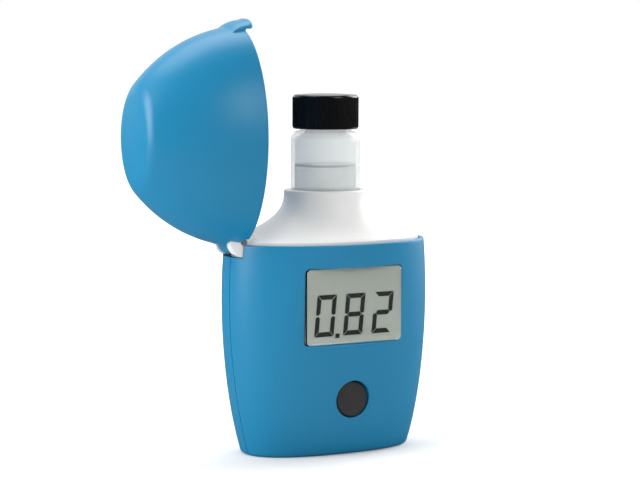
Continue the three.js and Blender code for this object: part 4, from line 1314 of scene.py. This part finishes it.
@dataclass
class Lid:
    """The domed lid with its knuckle and thumb lip, drawn closed and then turned open."""

    case: Case
    hinge: Hinge
    height: float = 29.6
    gap: float = 0.25
    wall: float = 1.0
    width_arc: float = 41.83
    width_drop: float = 3.87
    depth_arc: float = 49.9
    crease: float = 1.7
    inner_crease: float = 0.5
    crown: float = 0.35
    rim_edge: float = 0.25
    lip_half: float = 5.5

    def half_sizes(self, up: float) -> tuple[float, float]:
        """Half width and half depth at a height above the lid's rim."""
        rim = self.case.outline.rim_z
        width_loss = chord(self.width_arc, self.width_drop) - chord(self.width_arc, up + self.width_drop)
        depth_loss = self.depth_arc - chord(self.depth_arc, up)
        return self.case.outline.half_width(rim) - width_loss, self.case.outline.half_depth(rim) - depth_loss

    def plan(self, up: float, inset: float, z: float) -> list[Point]:
        """The lid's plan.

        Args:
            up: The height whose half sizes are used.
            inset: How far inside the outer surface.
            z: Where the ring lies.

        Returns:
            An anticlockwise ring.
        """
        half_width, half_depth = self.half_sizes(up)
        return superellipse(half_width - inset, half_depth - inset, 2.0, z, 240)

    def surface(self, top: float, inset: float, base: float) -> list[list[Point]]:
        """Rings from the rim to the crown's middle.

        Args:
            top: The height of the crown above the rim.
            inset: How far inside the outer surface.
            base: The rim's height in the frame.

        Returns:
            The rings, rim first.
        """
        bend = self.crease if inset == 0 else self.inner_crease
        sides = 56
        start = self.rim_edge if inset == 0 else 0.1
        rings = [
            self.plan(start + (top - bend - start) * i / sides, inset,
            base + start + (top - bend - start) * i / sides)
            for i in range(sides + 1)
        ]
        for step in range(1, 9):
            angle = math.radians(90 * step / 8)
            up = top - bend + bend * math.sin(angle)
            rings.append(self.plan(up, inset + bend * (1 - math.cos(angle)), base + up))
        half_width, half_depth = self.half_sizes(top)
        edge_width, edge_depth = half_width - inset - bend, half_depth - inset - bend
        for share in (0.85, 0.7, 0.5, 0.3, 0.12, 0.03):
            swell = self.crown * (1 - share**2)
            rings.append(superellipse(edge_width * share, edge_depth * share, 2.0, base + top + swell, 240))
        return rings

    def dome(self) -> bpy.types.Object:
        """The closed lid's shell.

        Returns:
            The solid.
        """
        base = self.case.outline.rim_z + self.gap
        outside = self.surface(self.height - self.crown, 0.0, base)
        inside = self.surface(self.height - self.crown - self.wall, self.wall, base)
        rim = []
        for step in range(4):
            angle = math.radians(30 * step)
            inset = self.rim_edge * (1 - math.sin(angle))
            rim.append(self.plan(0.0, inset, base + self.rim_edge * (1 - math.cos(angle))))
        rings = list(reversed(inside)) + [self.plan(0.0, self.wall - 0.1, base)] + rim + outside[1:]
        return Draft().loft(rings).build("dome_lid")

    def lip(self) -> bpy.types.Object:
        """The thumb lip that laps over the case's end.

        Returns:
            The solid.
        """
        rim = self.case.outline.rim_z
        base = rim + self.gap
        drop = 2.4
        half_width, half_depth = self.case.outline.half_width(rim), self.case.outline.half_depth(rim)
        section = [
            (-0.7, base + 0.4), (0.22, base - 0.05), (0.42, base - 0.3), (0.45, rim - 1.2),
            (0.5, rim - drop + 0.35),
            (0.7, rim - drop + 0.05), (1.05, rim - drop - 0.05), (1.5, rim - drop + 0.08),
            (1.78, rim - drop + 0.42),
            (1.78, rim - drop + 0.8), (1.58, rim - drop + 1.25), (1.42, rim - 0.4), (1.3, rim + 0.5),
            (1.05, rim + 1.5), (0.62, rim + 2.5), (0.05, rim + 3.4), (-0.75, rim + 4.3),
        ]
        rings = []
        steps = 40
        for step in range(steps + 1):
            share = 2 * step / steps - 1
            y = self.lip_half * math.sin(share * math.pi / 2)
            fade = math.sqrt(max(0.0, 1 - abs(y / self.lip_half) ** 5))
            ring = []
            for offset, z in section:
                proud = offset if offset < 0 else 0.4 + (offset - 0.4) * (0.35 + 0.65 * fade) if offset > 0.4 else offset
                level = base + (z - base) * (0.55 + 0.45 * fade) if z < base else z
                wide, deep = half_width + proud, half_depth + proud
                ring.append((wide * math.sqrt(1 - (y / deep) ** 2), y, level))
            rings.append(ring)
        return Draft().loft(rings).build("lip")

    def build(self) -> bpy.types.Object:
        """Makes the lid.

        Returns:
            The piece.
        """
        lid = self.dome()
        hinge, pivot = self.hinge, self.hinge.pivot
        carve(lid, self.lip(), Cut.JOIN)
        room = hinge.zone(hinge.ear_radius + hinge.room, hinge.ear_outer + hinge.room)
        keep = Draft().box((-60, -hinge.knuckle_half, 0), (60, hinge.knuckle_half, 120)).build("keep")
        carve(room, keep, Cut.AWAY)
        carve(lid, room, Cut.AWAY)
        carve(lid, hinge.zone(hinge.knuckle_radius, hinge.knuckle_half, 0.2), Cut.JOIN)
        carve(lid, hinge.zone(0.98, 8.0, segments=32), Cut.AWAY)
        opening = Matrix.Translation(pivot * MM) @ Matrix.Rotation(-math.pi / 2, 4, "Y") @ Matrix.Translation(
            -pivot * MM
        )
        lid.data.transform(opening)
        return dressed(smoothed(lid), BLUE, "blue_plastic", "lid", "lid")


# ---------------------------------------------------------------- the vial


@dataclass
class Vial:
    """The glass vial, the sample in it, the stopper and the ribbed cap."""

    radius: float = 9.2
    wall: float = 1.1
    floor: float = 1.5
    neck: float = 6.6
    neck_wall: float = 1.2
    pitch: float = 3.0
    cap_radius: float = 8.62
    rib_radius: float = 0.3
    ribs: int = 84

    def __post_init__(self) -> None:
        """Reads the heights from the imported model."""
        self.base, self.top = cad_box("glass_vial")[0].z, cad_box("glass_vial")[1].z
        self.cap_base, self.cap_top = cad_box("vial_cap")[0].z, cad_box("vial_cap")[1].z
        self.water_top = cad_box("water_sample")[1].z
        self.neck_base = self.cap_base - 0.7

    def glass(self) -> bpy.types.Object:
        """The vial with a rounded shoulder and a thread on its neck.

        Returns:
            The piece.
        """
        base, shoulder = self.base, self.neck_base
        outer, inner, neck = self.radius, self.radius - self.wall, self.neck
        bend = 2.3
        profile = [(0.05, base + 0.5), (outer - 3.0, base + 0.35)]
        profile += [(outer - 2.0, base)] + arc((outer - 1.2, base + 1.2), 1.2, -90, 0, 6)
        profile += arc((outer - bend, shoulder - bend + 0.2), bend, 0, 70, 9)
        profile += [(neck + 0.45, shoulder + 0.12), (neck, shoulder + 0.5), (neck, self.top - 0.4)]
        profile += arc((neck - 0.4, self.top - 0.4), 0.4, 0, 90, 4)
        bore = neck - self.neck_wall
        profile += arc((bore + 0.4, self.top - 0.4), 0.4, 90, 180, 4)
        profile += [(bore, shoulder + 0.2), (bore + 0.3, shoulder - 0.5)]
        profile += list(reversed(arc((inner - bend + 0.6, shoulder - bend - 0.5), bend - 0.6, 0, 65, 8)))
        profile += list(reversed(arc((inner - 1.0, base + self.floor + 1.0), 1.0, -90, 0, 6)))
        profile += [(0.05, base + self.floor + 0.15)]
        vial = Draft().turned(profile, 160).build("sample_vial")
        carve(vial, self.thread(neck - 0.4, neck + 0.6, 0.0), Cut.JOIN)
        return dressed(smoothed(vial, 50), GLASS, "clear_glass", "vial", "glass_vial")

    def thread(self, root: float, crest: float, lift: float) -> bpy.types.Object:
        """A helical ridge round the neck.

        Args:
            root: The radius at the ridge's foot.
            crest: The radius at its crest.
            lift: How far above the neck's own thread it starts.

        Returns:
            The solid.
        """
        turns, steps, start = 1.25, 60, 0.08
        section = [(root, -0.6), (crest, -0.2), (crest, 0.2), (root, 0.6)]
        rings = []
        for step in range(steps + 1):
            angle = start + FULL_TURN * turns * step / steps
            z = self.neck_base + 2 + lift + self.pitch * turns * step / steps
            taper = min(1.0, 4 * step / steps, 4 * (steps - step) / steps)
            rings.append([
                ((root + (r - root) * taper) * math.cos(angle), (root + (r - root) * taper) * math.sin(angle),
                z + dz)
                for r, dz in section
            ])
        return Draft().loft(rings).build("thread")

    def sample(self) -> bpy.types.Object:
        """The water, lapping a hair into the glass, with a raised meniscus.

        Returns:
            The piece.
        """
        inner, floor = self.radius - self.wall + 0.02, self.base + self.floor - 0.02
        profile = [(0.05, floor + 0.15)] + arc((inner - 1.0, floor + 1.0), 1.0, -90, 0, 6)
        profile += [(inner, self.water_top + 0.75)]
        profile += [
            (inner - 1.6 * t, self.water_top + 0.75 * math.exp(-4.2 * t)) for t in (0.08, 0.2, 0.35, 0.55,
            0.8, 1.1, 1.5)
        ]
        profile += [
            (inner * 0.6, self.water_top - 0.0), (inner * 0.3, self.water_top), (0.05, self.water_top)
        ]
        water = Draft().turned(profile, 160).build("sample_water")
        return dressed(smoothed(water, 60), WATER, "water", "vial", "water_sample")

    def stopper(self) -> bpy.types.Object:
        """The stopper disc on the neck.

        Returns:
            The piece.
        """
        low, high = cad_box("stopper")
        plug = self.neck - self.neck_wall - 0.3
        disc_z = self.top + 0.05
        profile = [(0.05, low.z)] + arc((plug - 0.2, low.z + 0.2), 0.2, -90, 0, 3) + [(plug, disc_z)]
        profile += arc((self.neck - 0.2, disc_z + 0.2), 0.2, -90, 0, 3) + arc(
            (self.neck - 0.2, high.z - 0.2), 0.2, 0, 90, 3
        )
        profile += [(0.05, high.z)]
        disc = Draft().turned(profile, 96).build("stopper_disc")
        return dressed(smoothed(disc), STOPPER, "stopper_plastic", "stopper", "stopper")

    def cap(self) -> bpy.types.Object:
        """The cap: a turned body, ribs set round it and a thread in its bore.

        Returns:
            The piece.
        """
        base, top, radius = self.cap_base, self.cap_top, self.cap_radius
        bore, ceiling = self.neck + 0.9, self.top + 0.05 + 0.9 + 0.1
        bead = 0.35
        profile = [(0.05, ceiling), (bore - 0.2, ceiling), (bore, ceiling - 0.2), (bore, base + 0.2)]
        profile += [(bore + 0.2, base), (radius - 0.1, base)] + [(radius, base + 0.12)]
        profile += [(radius, top - 0.9)] + arc((radius - 0.7, top - 0.75), 0.7, 0, 78, 6)
        profile += [
            (radius - 1.3, top - 0.03), (radius * 0.8, top), (radius * 0.74, top - 0.12),
            (0.05, top - bead * 0.4)
        ]
        cap = Draft().turned(profile, 168).build("ribbed_cap")
        start, end = base + 0.45, top - 0.75
        ribs = rib_tree().run(
            "cap_ribs", None, CAP, Count=self.ribs, Circle_Radius=(radius - 0.02) * MM,
            Rib_Radius=self.rib_radius * 0.72 * MM,
            Rib_Height=(end - start) * MM, Middle_Height=(start + end) / 2 * MM,
        )
        carve(cap, ribs, Cut.JOIN)
        carve(cap, self.thread(bore + 0.4, self.neck + 0.35, self.pitch / 2), Cut.JOIN)
        return dressed(smoothed(cap, 30), CAP, "black_plastic", "cap", "vial_cap")

    def build(self) -> None:
        """Makes the vial and what it holds."""
        self.glass()
        self.sample()
        self.stopper()
        self.cap()


# ---------------------------------------------------------------- the display and the button


@dataclass
class Display:
    """The clear window, the reflector behind it and three slanted seven-segment figures."""

    corner: float = 1.1
    round: float = 1.0
    figures: str = "082"
    lefts: tuple[float, ...] = (-11.9, -3.3, 5.3)
    low_z: float = 32.35
    figure_height: float = 10.9
    figure_width: float = 5.75
    stroke: float = 1.22
    gap: float = 0.12
    slant: float = 0.095
    film: float = 0.05

    def plate(self, name: str, half_width: float, half_height: float, front: float, back: float, edge: float) -> bpy.types.Object:
        """A plate facing the front with a rounded front edge.

        Args:
            name: The plate's name.
            half_width: Half of its width.
            half_height: Half of its height.
            front: The y of its face.
            back: The y of its back.
            edge: The radius of its front edge.

        Returns:
            The solid.
        """
        low, high = cad_box("display_lens")
        middle = (low + high) / 2
        rings = []

        def ring(inset: float, y: float) -> list[Point]:
            """The outline moved inward, at a depth, seen from the front anticlockwise."""
            corner = max(self.corner - inset, 0.15)
            flat = rounded_rectangle(half_width - inset, half_height - inset, corner)
            return [(middle.x + x, y, middle.z + z) for x, z in flat]

        rings.append(ring(0.0, back))
        for step in range(9):
            angle = math.radians(90 * step / 8)
            rings.append(ring(edge * (1 - math.cos(angle)), front + edge * (1 - math.sin(angle))))
        rings.append(ring(edge + 0.4, front))
        return Draft().loft(rings).build(name)

    def window(self) -> bpy.types.Object:
        """The clear window.

        Returns:
            The piece.
        """
        low, high = cad_box("display_lens")
        window = self.plate(
            "display_window", (high.x - low.x) / 2, (high.z - low.z) / 2, low.y, high.y, self.round
        )
        return dressed(smoothed(window), LENS, "clear_plastic", "case", "display_lens")

    def reflector(self) -> bpy.types.Object:
        """The grey reflector of the crystal panel.

        Returns:
            The piece.
        """
        low, high = cad_box("crystal_panel")
        panel = self.plate(
            "crystal_reflector_plate", (high.x - low.x) / 2, (high.z - low.z) / 2, low.y + 0.12, high.y, 0.08
        )
        return dressed(smoothed(panel), CRYSTAL, "crystal", "case", "crystal_panel")

    def segment(self, letter: str) -> list[tuple[float, float]]:
        """The outline of one segment of a figure, from the figure's lower left corner.

        Args:
            letter: a to g, in the usual order of seven-segment figures.

        Returns:
            Its corners.
        """
        w, h, t, g = self.figure_width, self.figure_height, self.stroke, self.gap
        mid = h / 2
        cuts = {
            "a": [(g, h), (w - g, h), (w - t - g, h - t), (t + g, h - t)],
            "d": [(t + g, t), (w - t - g, t), (w - g, 0), (g, 0)],
            "g": [(t * 0.55 + g, mid), (t + g, mid + t / 2), (w - t - g, mid + t / 2),
            (w - t * 0.55 - g, mid), (w - t - g, mid - t / 2), (t + g, mid - t / 2)],
            "f": [(0, h - g), (t, h - t - g), (t, mid + t / 2 + g * 0.4), (t * 0.55, mid + g),
            (0, mid + t * 0.35)],
            "b": [(w, h - g), (w, mid + t * 0.35), (w - t * 0.55, mid + g), (w - t, mid + t / 2 + g * 0.4),
            (w - t, h - t - g)],
            "e": [(0, g), (0, mid - t * 0.35), (t * 0.55, mid - g), (t, mid - t / 2 - g * 0.4), (t, t + g)],
            "c": [(w, g), (w - t, t + g), (w - t, mid - t / 2 - g * 0.4), (w - t * 0.55, mid - g),
            (w, mid - t * 0.35)],
        }
        return cuts[letter]

    def digits(self) -> bpy.types.Object:
        """The lit segments and the point, as thin solids just in front of the reflector.

        Returns:
            The piece.
        """
        lit = {"0": "abcdef", "8": "abcdefg", "2": "abged"}
        face = cad_box("crystal_panel")[0].y
        draft = Draft()
        outlines = []
        for left, figure in zip(self.lefts, self.figures):
            outlines += [[(left + x, z) for x, z in self.segment(letter)] for letter in lit[figure]]
        point_x, size = self.lefts[0] + self.figure_width + 1.2, 0.6
        outlines.append(
            [(point_x - size, size), (point_x + size, size), (point_x + size, -size * 0.9),
            (point_x - size, -size * 0.9)]
        )
        for outline in outlines:
            ring = [(x + self.slant * z, self.low_z + z) for x, z in outline]
            area = sum(a[0] * b[1] - b[0] * a[1] for a, b in zip(ring, ring[1:] + ring[:1]))
            ring = ring if area > 0 else ring[::-1]
            draft.loft([[(x, face + self.film, z) for x, z in ring], [(x, face, z) for x, z in ring]])
        figures = draft.build("crystal_figures")
        return dressed(smoothed(figures), SEGMENT, "crystal", "case")

    def build(self) -> None:
        """Makes the window, the reflector and the figures."""
        self.window()
        self.reflector()
        self.digits()


@dataclass
class Button:
    """The push button: a dished face and a flange that keeps it behind the wall."""

    dish: float = 0.25

    def build(self) -> bpy.types.Object:
        """Makes the button.

        Returns:
            The piece.
        """
        low, high = cad_box("button_cap")
        middle = (low + high) / 2
        flange = (high.x - low.x) / 2
        radius = flange - 1.2
        depth = high.y - low.y
        profile = [
            (0.05, 0.0), (flange - 0.1, 0.0), (flange, 0.1), (flange, 0.6), (flange - 0.1, 0.7), (radius, 0.7)
        ]
        profile += arc((radius - 0.5, depth - 0.5), 0.5, 0, 80, 6)
        profile += [(radius * s, depth - self.dish * (1 - s * s)) for s in (0.82, 0.65, 0.45, 0.25, 0.01)]
        place = Matrix.Translation((middle.x, high.y, middle.z)) @ Axis.FRONT.matrix()
        button = Draft().turned(profile, 96).placed(place).build("push_button")
        return dressed(smoothed(button), BUTTON, "dark_plastic", "button", "button_cap")


# ---------------------------------------------------------------- inside


@dataclass
class Power:
    """The battery, its contacts and the cover in the base."""

    crimp: float = 0.25

    def cell(self) -> bpy.types.Object:
        """The battery with its crimped ends and its nub.

        Returns:
            The piece.
        """
        low, high = cad_box("battery")
        radius, nub = (high.x - low.x) / 2, 1.9
        edge = high.z - 0.8
        profile = [(0.05, low.z), (radius - 1.1, low.z)] + arc((radius - 0.5, low.z + 0.5), 0.5, -90, 0, 4)
        profile += arc((radius - 0.5, edge - 0.5), 0.5, 0, 90, 4) + [
            (radius - 1.0, edge - self.crimp), (nub + 0.5, edge - self.crimp)
        ]
        profile += [(nub, edge)] + arc((nub - 0.2, high.z - 0.2), 0.2, 0, 90, 3) + [(0.05, high.z)]
        place = Matrix.Translation(((low.x + high.x) / 2, 0, 0))
        cell = Draft().turned(profile, 72).placed(place).build("dry_cell")
        return dressed(smoothed(cell), SleeveFinish(), "battery_wrap", "case", "battery")

    def springs(self) -> None:
        """The seat's spring and the conical battery contact."""
        tree = coil_tree()
        wire = 0.35
        low, high = cad_box("seat_spring")
        seat = tree.run(
            "seat_coil", None, STEEL, Turns=6.0, Start_Radius=4.2 * MM, End_Radius=4.2 * MM,
            Length=(high.z - low.z - 2 * wire) * MM, Wire_Radius=wire * MM,
            Start_Point=(0, 0, (low.z + wire) * MM),
        )
        dressed(smoothed(seat, 60), STEEL, "steel", "case", "seat_spring")
        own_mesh(seat)
        low, high = cad_box("contact_spring")
        battery_low, battery_high = cad_box("battery")
        centre = (battery_low.x + battery_high.x) / 2
        cone = tree.run(
            "contact_coil", None, STEEL, Turns=2.5, Start_Radius=4.25 * MM, End_Radius=2.25 * MM,
            Length=(high.z - low.z - 2 * wire) * MM, Wire_Radius=wire * MM,
            Start_Point=(centre * MM, 0, (low.z + wire) * MM),
        )
        dressed(smoothed(cone, 60), STEEL, "steel", "cover", "contact_spring")

    def cover(self) -> bpy.types.Object:
        """The battery cover with rounded edges and its screw's recess.

        Returns:
            The piece.
        """
        low, high = cad_box("battery_cover")
        middle = (low + high) / 2
        half = ((high.x - low.x) / 2, (high.y - low.y) / 2)
        rings = []
        edge = 0.25
        for inset, z in [(edge, low.z), (edge * 0.3, low.z + edge * 0.3), (0, low.z + edge), (0, high.z)]:
            flat = rounded_rectangle(half[0] - inset, half[1] - inset, 5.1 - inset, 12)
            rings.append([(middle.x + x, middle.y + y, z) for x, y in flat])
        cover = Draft().loft(rings).build("base_battery_cover")
        screw_low, screw_high = cad_box("cover_screw")
        x = (screw_low.x + screw_high.x) / 2
        recess = Draft().turned(
            [(2.3, low.z - 1), (2.3, low.z), (2.05, low.z + 0.2), (2.05, low.z + 0.8)], 48
        )
        carve(cover, recess.placed(Matrix.Translation((x, 0, 0))).build("recess"), Cut.AWAY)
        hole = Draft().turned([(1.05, low.z - 1), (1.05, high.z + 1)], 24)
        carve(cover, hole.placed(Matrix.Translation((x, 0, 0))).build("hole"), Cut.AWAY)
        for row in range(3):
            bar = Draft().box(
                (middle.x + 5.2 - 1.5 * row, -2.6, low.z - 0.1),
                (middle.x + 5.8 - 1.5 * row, 2.6, low.z + 0.3)
            )
            carve(cover, bar.build("grip"), Cut.AWAY)
        dressed(smoothed(cover), BLUE, "blue_plastic", "cover", "battery_cover")
        seat = bpy.data.objects.new("cover_fixing", bpy.data.meshes.new("cover_fixing"))
        seat.data.from_pydata([(x * MM, 0, (screw_low.z + 0.8) * MM)], [], [])
        bpy.context.scene.collection.objects.link(seat)
        made = screw_tree().run(
            "cover_fixing", seat, STEEL, Head_Height=0.8 * MM, Shank_Length=5 * MM, Turn=(math.pi, 0.0, 0.0),
            Recess=(0.0026, 0.0005, 0.0009),
        )
        return dressed(smoothed(made), STEEL, "steel", "cover", "cover_screw")

    def build(self) -> None:
        """Makes the battery, the springs and the cover."""
        self.cell()
        self.springs()
        self.cover()


@dataclass
class Works:
    """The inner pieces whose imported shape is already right, and the seat that the vial stands on."""

    finishes: dict[str, Finish | ClearFinish | BoardFinish] = field(
        default_factory=lambda: {
            "cell_holder": INNER,
            "strip_frame": INNER,
            "battery_holder": INNER,
            "main_board": BoardFinish(),
            "detector_board": BoardFinish(),
            "microcontroller": EPOXY,
            "photodiode": EPOXY,
            "key_switch": STEEL,
            "contact_plate": BRASS,
            "contact_strip_top": RUBBER,
            "contact_strip_bottom": RUBBER,
            "led": LAMP,
            "interference_filter": FILTER,
        }
    )

    def seat(self) -> bpy.types.Object:
        """The vial's seat: a dished disc with a spigot that centres the spring.

        Returns:
            The piece.
        """
        low, high = cad_box("vial_seat")
        radius, spigot = (high.x - low.x) / 2, 3.55
        step = high.z - 1.5
        profile = [
            (0.05, low.z), (spigot - 0.2, low.z), (spigot, low.z + 0.2), (spigot, step), (radius - 0.2, step)
        ]
        profile += [
            (radius, step + 0.2), (radius, high.z - 0.2), (radius - 0.2, high.z), (radius - 1.4, high.z)
        ]
        profile += [(radius - 1.8, high.z - 0.35), (0.05, high.z - 0.35)]
        seat = Draft().turned(profile, 96).build("sprung_seat")
        return dressed(smoothed(seat), INNER, "inner_plastic", "seat", "vial_seat")

    def build(self) -> None:
        """Dresses the inner pieces."""
        self.seat()
        for node, finish in self.finishes.items():
            kept = frame["nodes"][node]
            kept.data.materials.clear()
            kept.data.materials.append(finish.material())
            log.info("%s keeps its packed shape", node)


# ---------------------------------------------------------------- the studio


@dataclass
class Studio:
    """A pale floor, soft light and the camera."""

    eye: Vector = field(default_factory=lambda: Vector((-0.29107, -0.51839, 0.11299)))
    right: Vector = field(default_factory=lambda: Vector((0.87321, -0.48733, 0.00347)))
    up: Vector = field(default_factory=lambda: Vector((0.04357, 0.08516, 0.99541)))
    lens: float = 125.9
    fill: float = 0.45
    room: float = 0.08
    backdrop: float = 1.0
    near_glow: float = 0.13
    far_glow: float = 0.75

    def camera(self) -> None:
        """The camera, looking slightly down from the front left."""
        data = bpy.data.cameras.new("camera")
        data.sensor_width, data.lens = 36.0, self.lens
        data.clip_start, data.clip_end = 0.01, 20.0
        camera = bpy.data.objects.new("camera", data)
        right, up = self.right.normalized(), self.up.normalized()
        back = right.cross(up).normalized()
        turn = Matrix((right, back.cross(right), back)).transposed()
        camera.matrix_world = Matrix.Translation(self.eye) @ turn.to_4x4()
        bpy.context.scene.collection.objects.link(camera)
        bpy.context.scene.camera = camera

    def floor(self) -> None:
        """A wide floor that shows white to the camera and keeps the shadow."""
        mesh = bpy.data.meshes.new("floor")
        reach = 6.0
        corners = [(-reach, -reach, 0), (reach, -reach, 0), (reach, reach, 0), (-reach, reach, 0)]
        mesh.from_pydata(corners, [], [(0, 1, 2, 3)])
        floor = bpy.data.objects.new("floor", mesh)
        bpy.context.scene.collection.objects.link(floor)
        material, tree, shader, place = started("pale_floor")
        path = tree.nodes.new("ShaderNodeLightPath")
        tone = wired(
            tree, "ShaderNodeMapRange", Value=path.outputs["Is Glossy Ray"], To_Min=0.8, To_Max=0.12,
        )
        tree.links.new(tone.outputs[0], shader.inputs["Base Color"])
        shader.inputs["Roughness"].default_value = 0.9
        shader.inputs["Emission Color"].default_value = (1, 1, 1, 1)
        shader.inputs["Specular IOR Level"].default_value = 0.0
        far = wired(tree, "ShaderNodeVectorMath", {"operation": "LENGTH"}, i0=place)
        level = wired(
            tree, "ShaderNodeMapRange", Value=far.outputs["Value"], From_Min=0.06, From_Max=0.6,
            To_Min=self.near_glow, To_Max=self.far_glow,
        )
        seen = wired(
            tree, "ShaderNodeMath", {"operation": "MAXIMUM"},
            i0=path.outputs["Is Camera Ray"], i1=path.outputs["Is Transmission Ray"],
        )
        glow = wired(
            tree, "ShaderNodeMath", {"operation": "MULTIPLY"}, i0=seen.outputs[0], i1=level.outputs[0]
        )
        tree.links.new(glow.outputs[0], shader.inputs["Emission Strength"])
        mesh.materials.append(material)

    def world(self) -> None:
        """A white backdrop in a dim room: white to the camera, and an even fill where it lights."""
        world = bpy.data.worlds.new("studio")
        world.use_nodes = True
        bpy.context.scene.world = world
        tree = world.node_tree
        background = tree.nodes["Background"]
        background.inputs["Color"].default_value = (1, 1, 1, 1)
        forward = -self.right.cross(self.up).normalized()
        way = tree.nodes.new("ShaderNodeTexCoord").outputs["Generated"]
        facing = wired(tree, "ShaderNodeVectorMath", {"operation": "DOT_PRODUCT"}, i0=way, i1=tuple(forward))
        lit = wired(
            tree, "ShaderNodeMapRange", {"interpolation_type": "SMOOTHSTEP"}, Value=facing.outputs["Value"],
            From_Min=-0.1, From_Max=0.75, To_Min=self.room, To_Max=self.backdrop,
        )
        straight = wired(
            tree, "ShaderNodeMapRange", {"interpolation_type": "SMOOTHSTEP"}, Value=facing.outputs["Value"],
            From_Min=0.45, From_Max=0.93, To_Min=self.room, To_Max=self.backdrop,
        )
        path = tree.nodes.new("ShaderNodeLightPath")
        mirrored = wired(
            tree, "ShaderNodeMix", i0=path.outputs["Is Glossy Ray"], i2=self.fill, i3=lit.outputs[0]
        )
        soft = wired(
            tree, "ShaderNodeMix", i0=path.outputs["Is Transmission Ray"], i2=mirrored.outputs[0],
            i3=straight.outputs[0],
        )
        strength = wired(
            tree, "ShaderNodeMix", i0=path.outputs["Is Camera Ray"], i2=soft.outputs[0], i3=1.0,
        )
        tree.links.new(strength.outputs[0], background.inputs["Strength"])

    def lamp(self, name: str, place: Point, size: tuple[float, float], power: float) -> None:
        """A soft rectangular lamp that faces the tester.

        Args:
            name: The lamp's name.
            place: Where it stands, in metres.
            size: Its width and height.
            power: Its power in watts.
        """
        data = bpy.data.lights.new(name, "AREA")
        data.shape, data.size, data.size_y, data.energy = "RECTANGLE", *size, power
        lamp = bpy.data.objects.new(name, data)
        lamp.location = place
        lamp.rotation_euler = (Vector((0, 0, 0.05)) - Vector(place)).to_track_quat("-Z", "Y").to_euler()
        bpy.context.scene.collection.objects.link(lamp)

    def build(self) -> None:
        """Sets the whole stage."""
        self.camera()
        self.floor()
        self.world()
        self.lamp("key", (0.66, 0.12, 0.35), (0.5, 0.6), 4.2)
        self.lamp("front", (0.25, -0.85, 0.45), (0.5, 0.4), 2.0)
        self.lamp("top", (0.0, 0.22, 0.8), (0.8, 0.5), 4.2)
        self.lamp("left", (-0.62, 0.02, 0.3), (0.4, 0.5), 3.8)
        bpy.context.scene.view_settings.view_transform = "Standard"


def main() -> None:
    """Builds the tester and its studio."""
    logging.basicConfig(level=logging.INFO, format="%(name)s %(message)s")
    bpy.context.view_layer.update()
    Studio().build()
    case, hinge = Case(), Hinge()
    case.build()
    Collar(case, hinge).build()
    Lid(case, hinge).build()
    Vial().build()
    Display().build()
    Button().build()
    Power().build()
    Works().build()


if __name__ == "__main__":
    main()
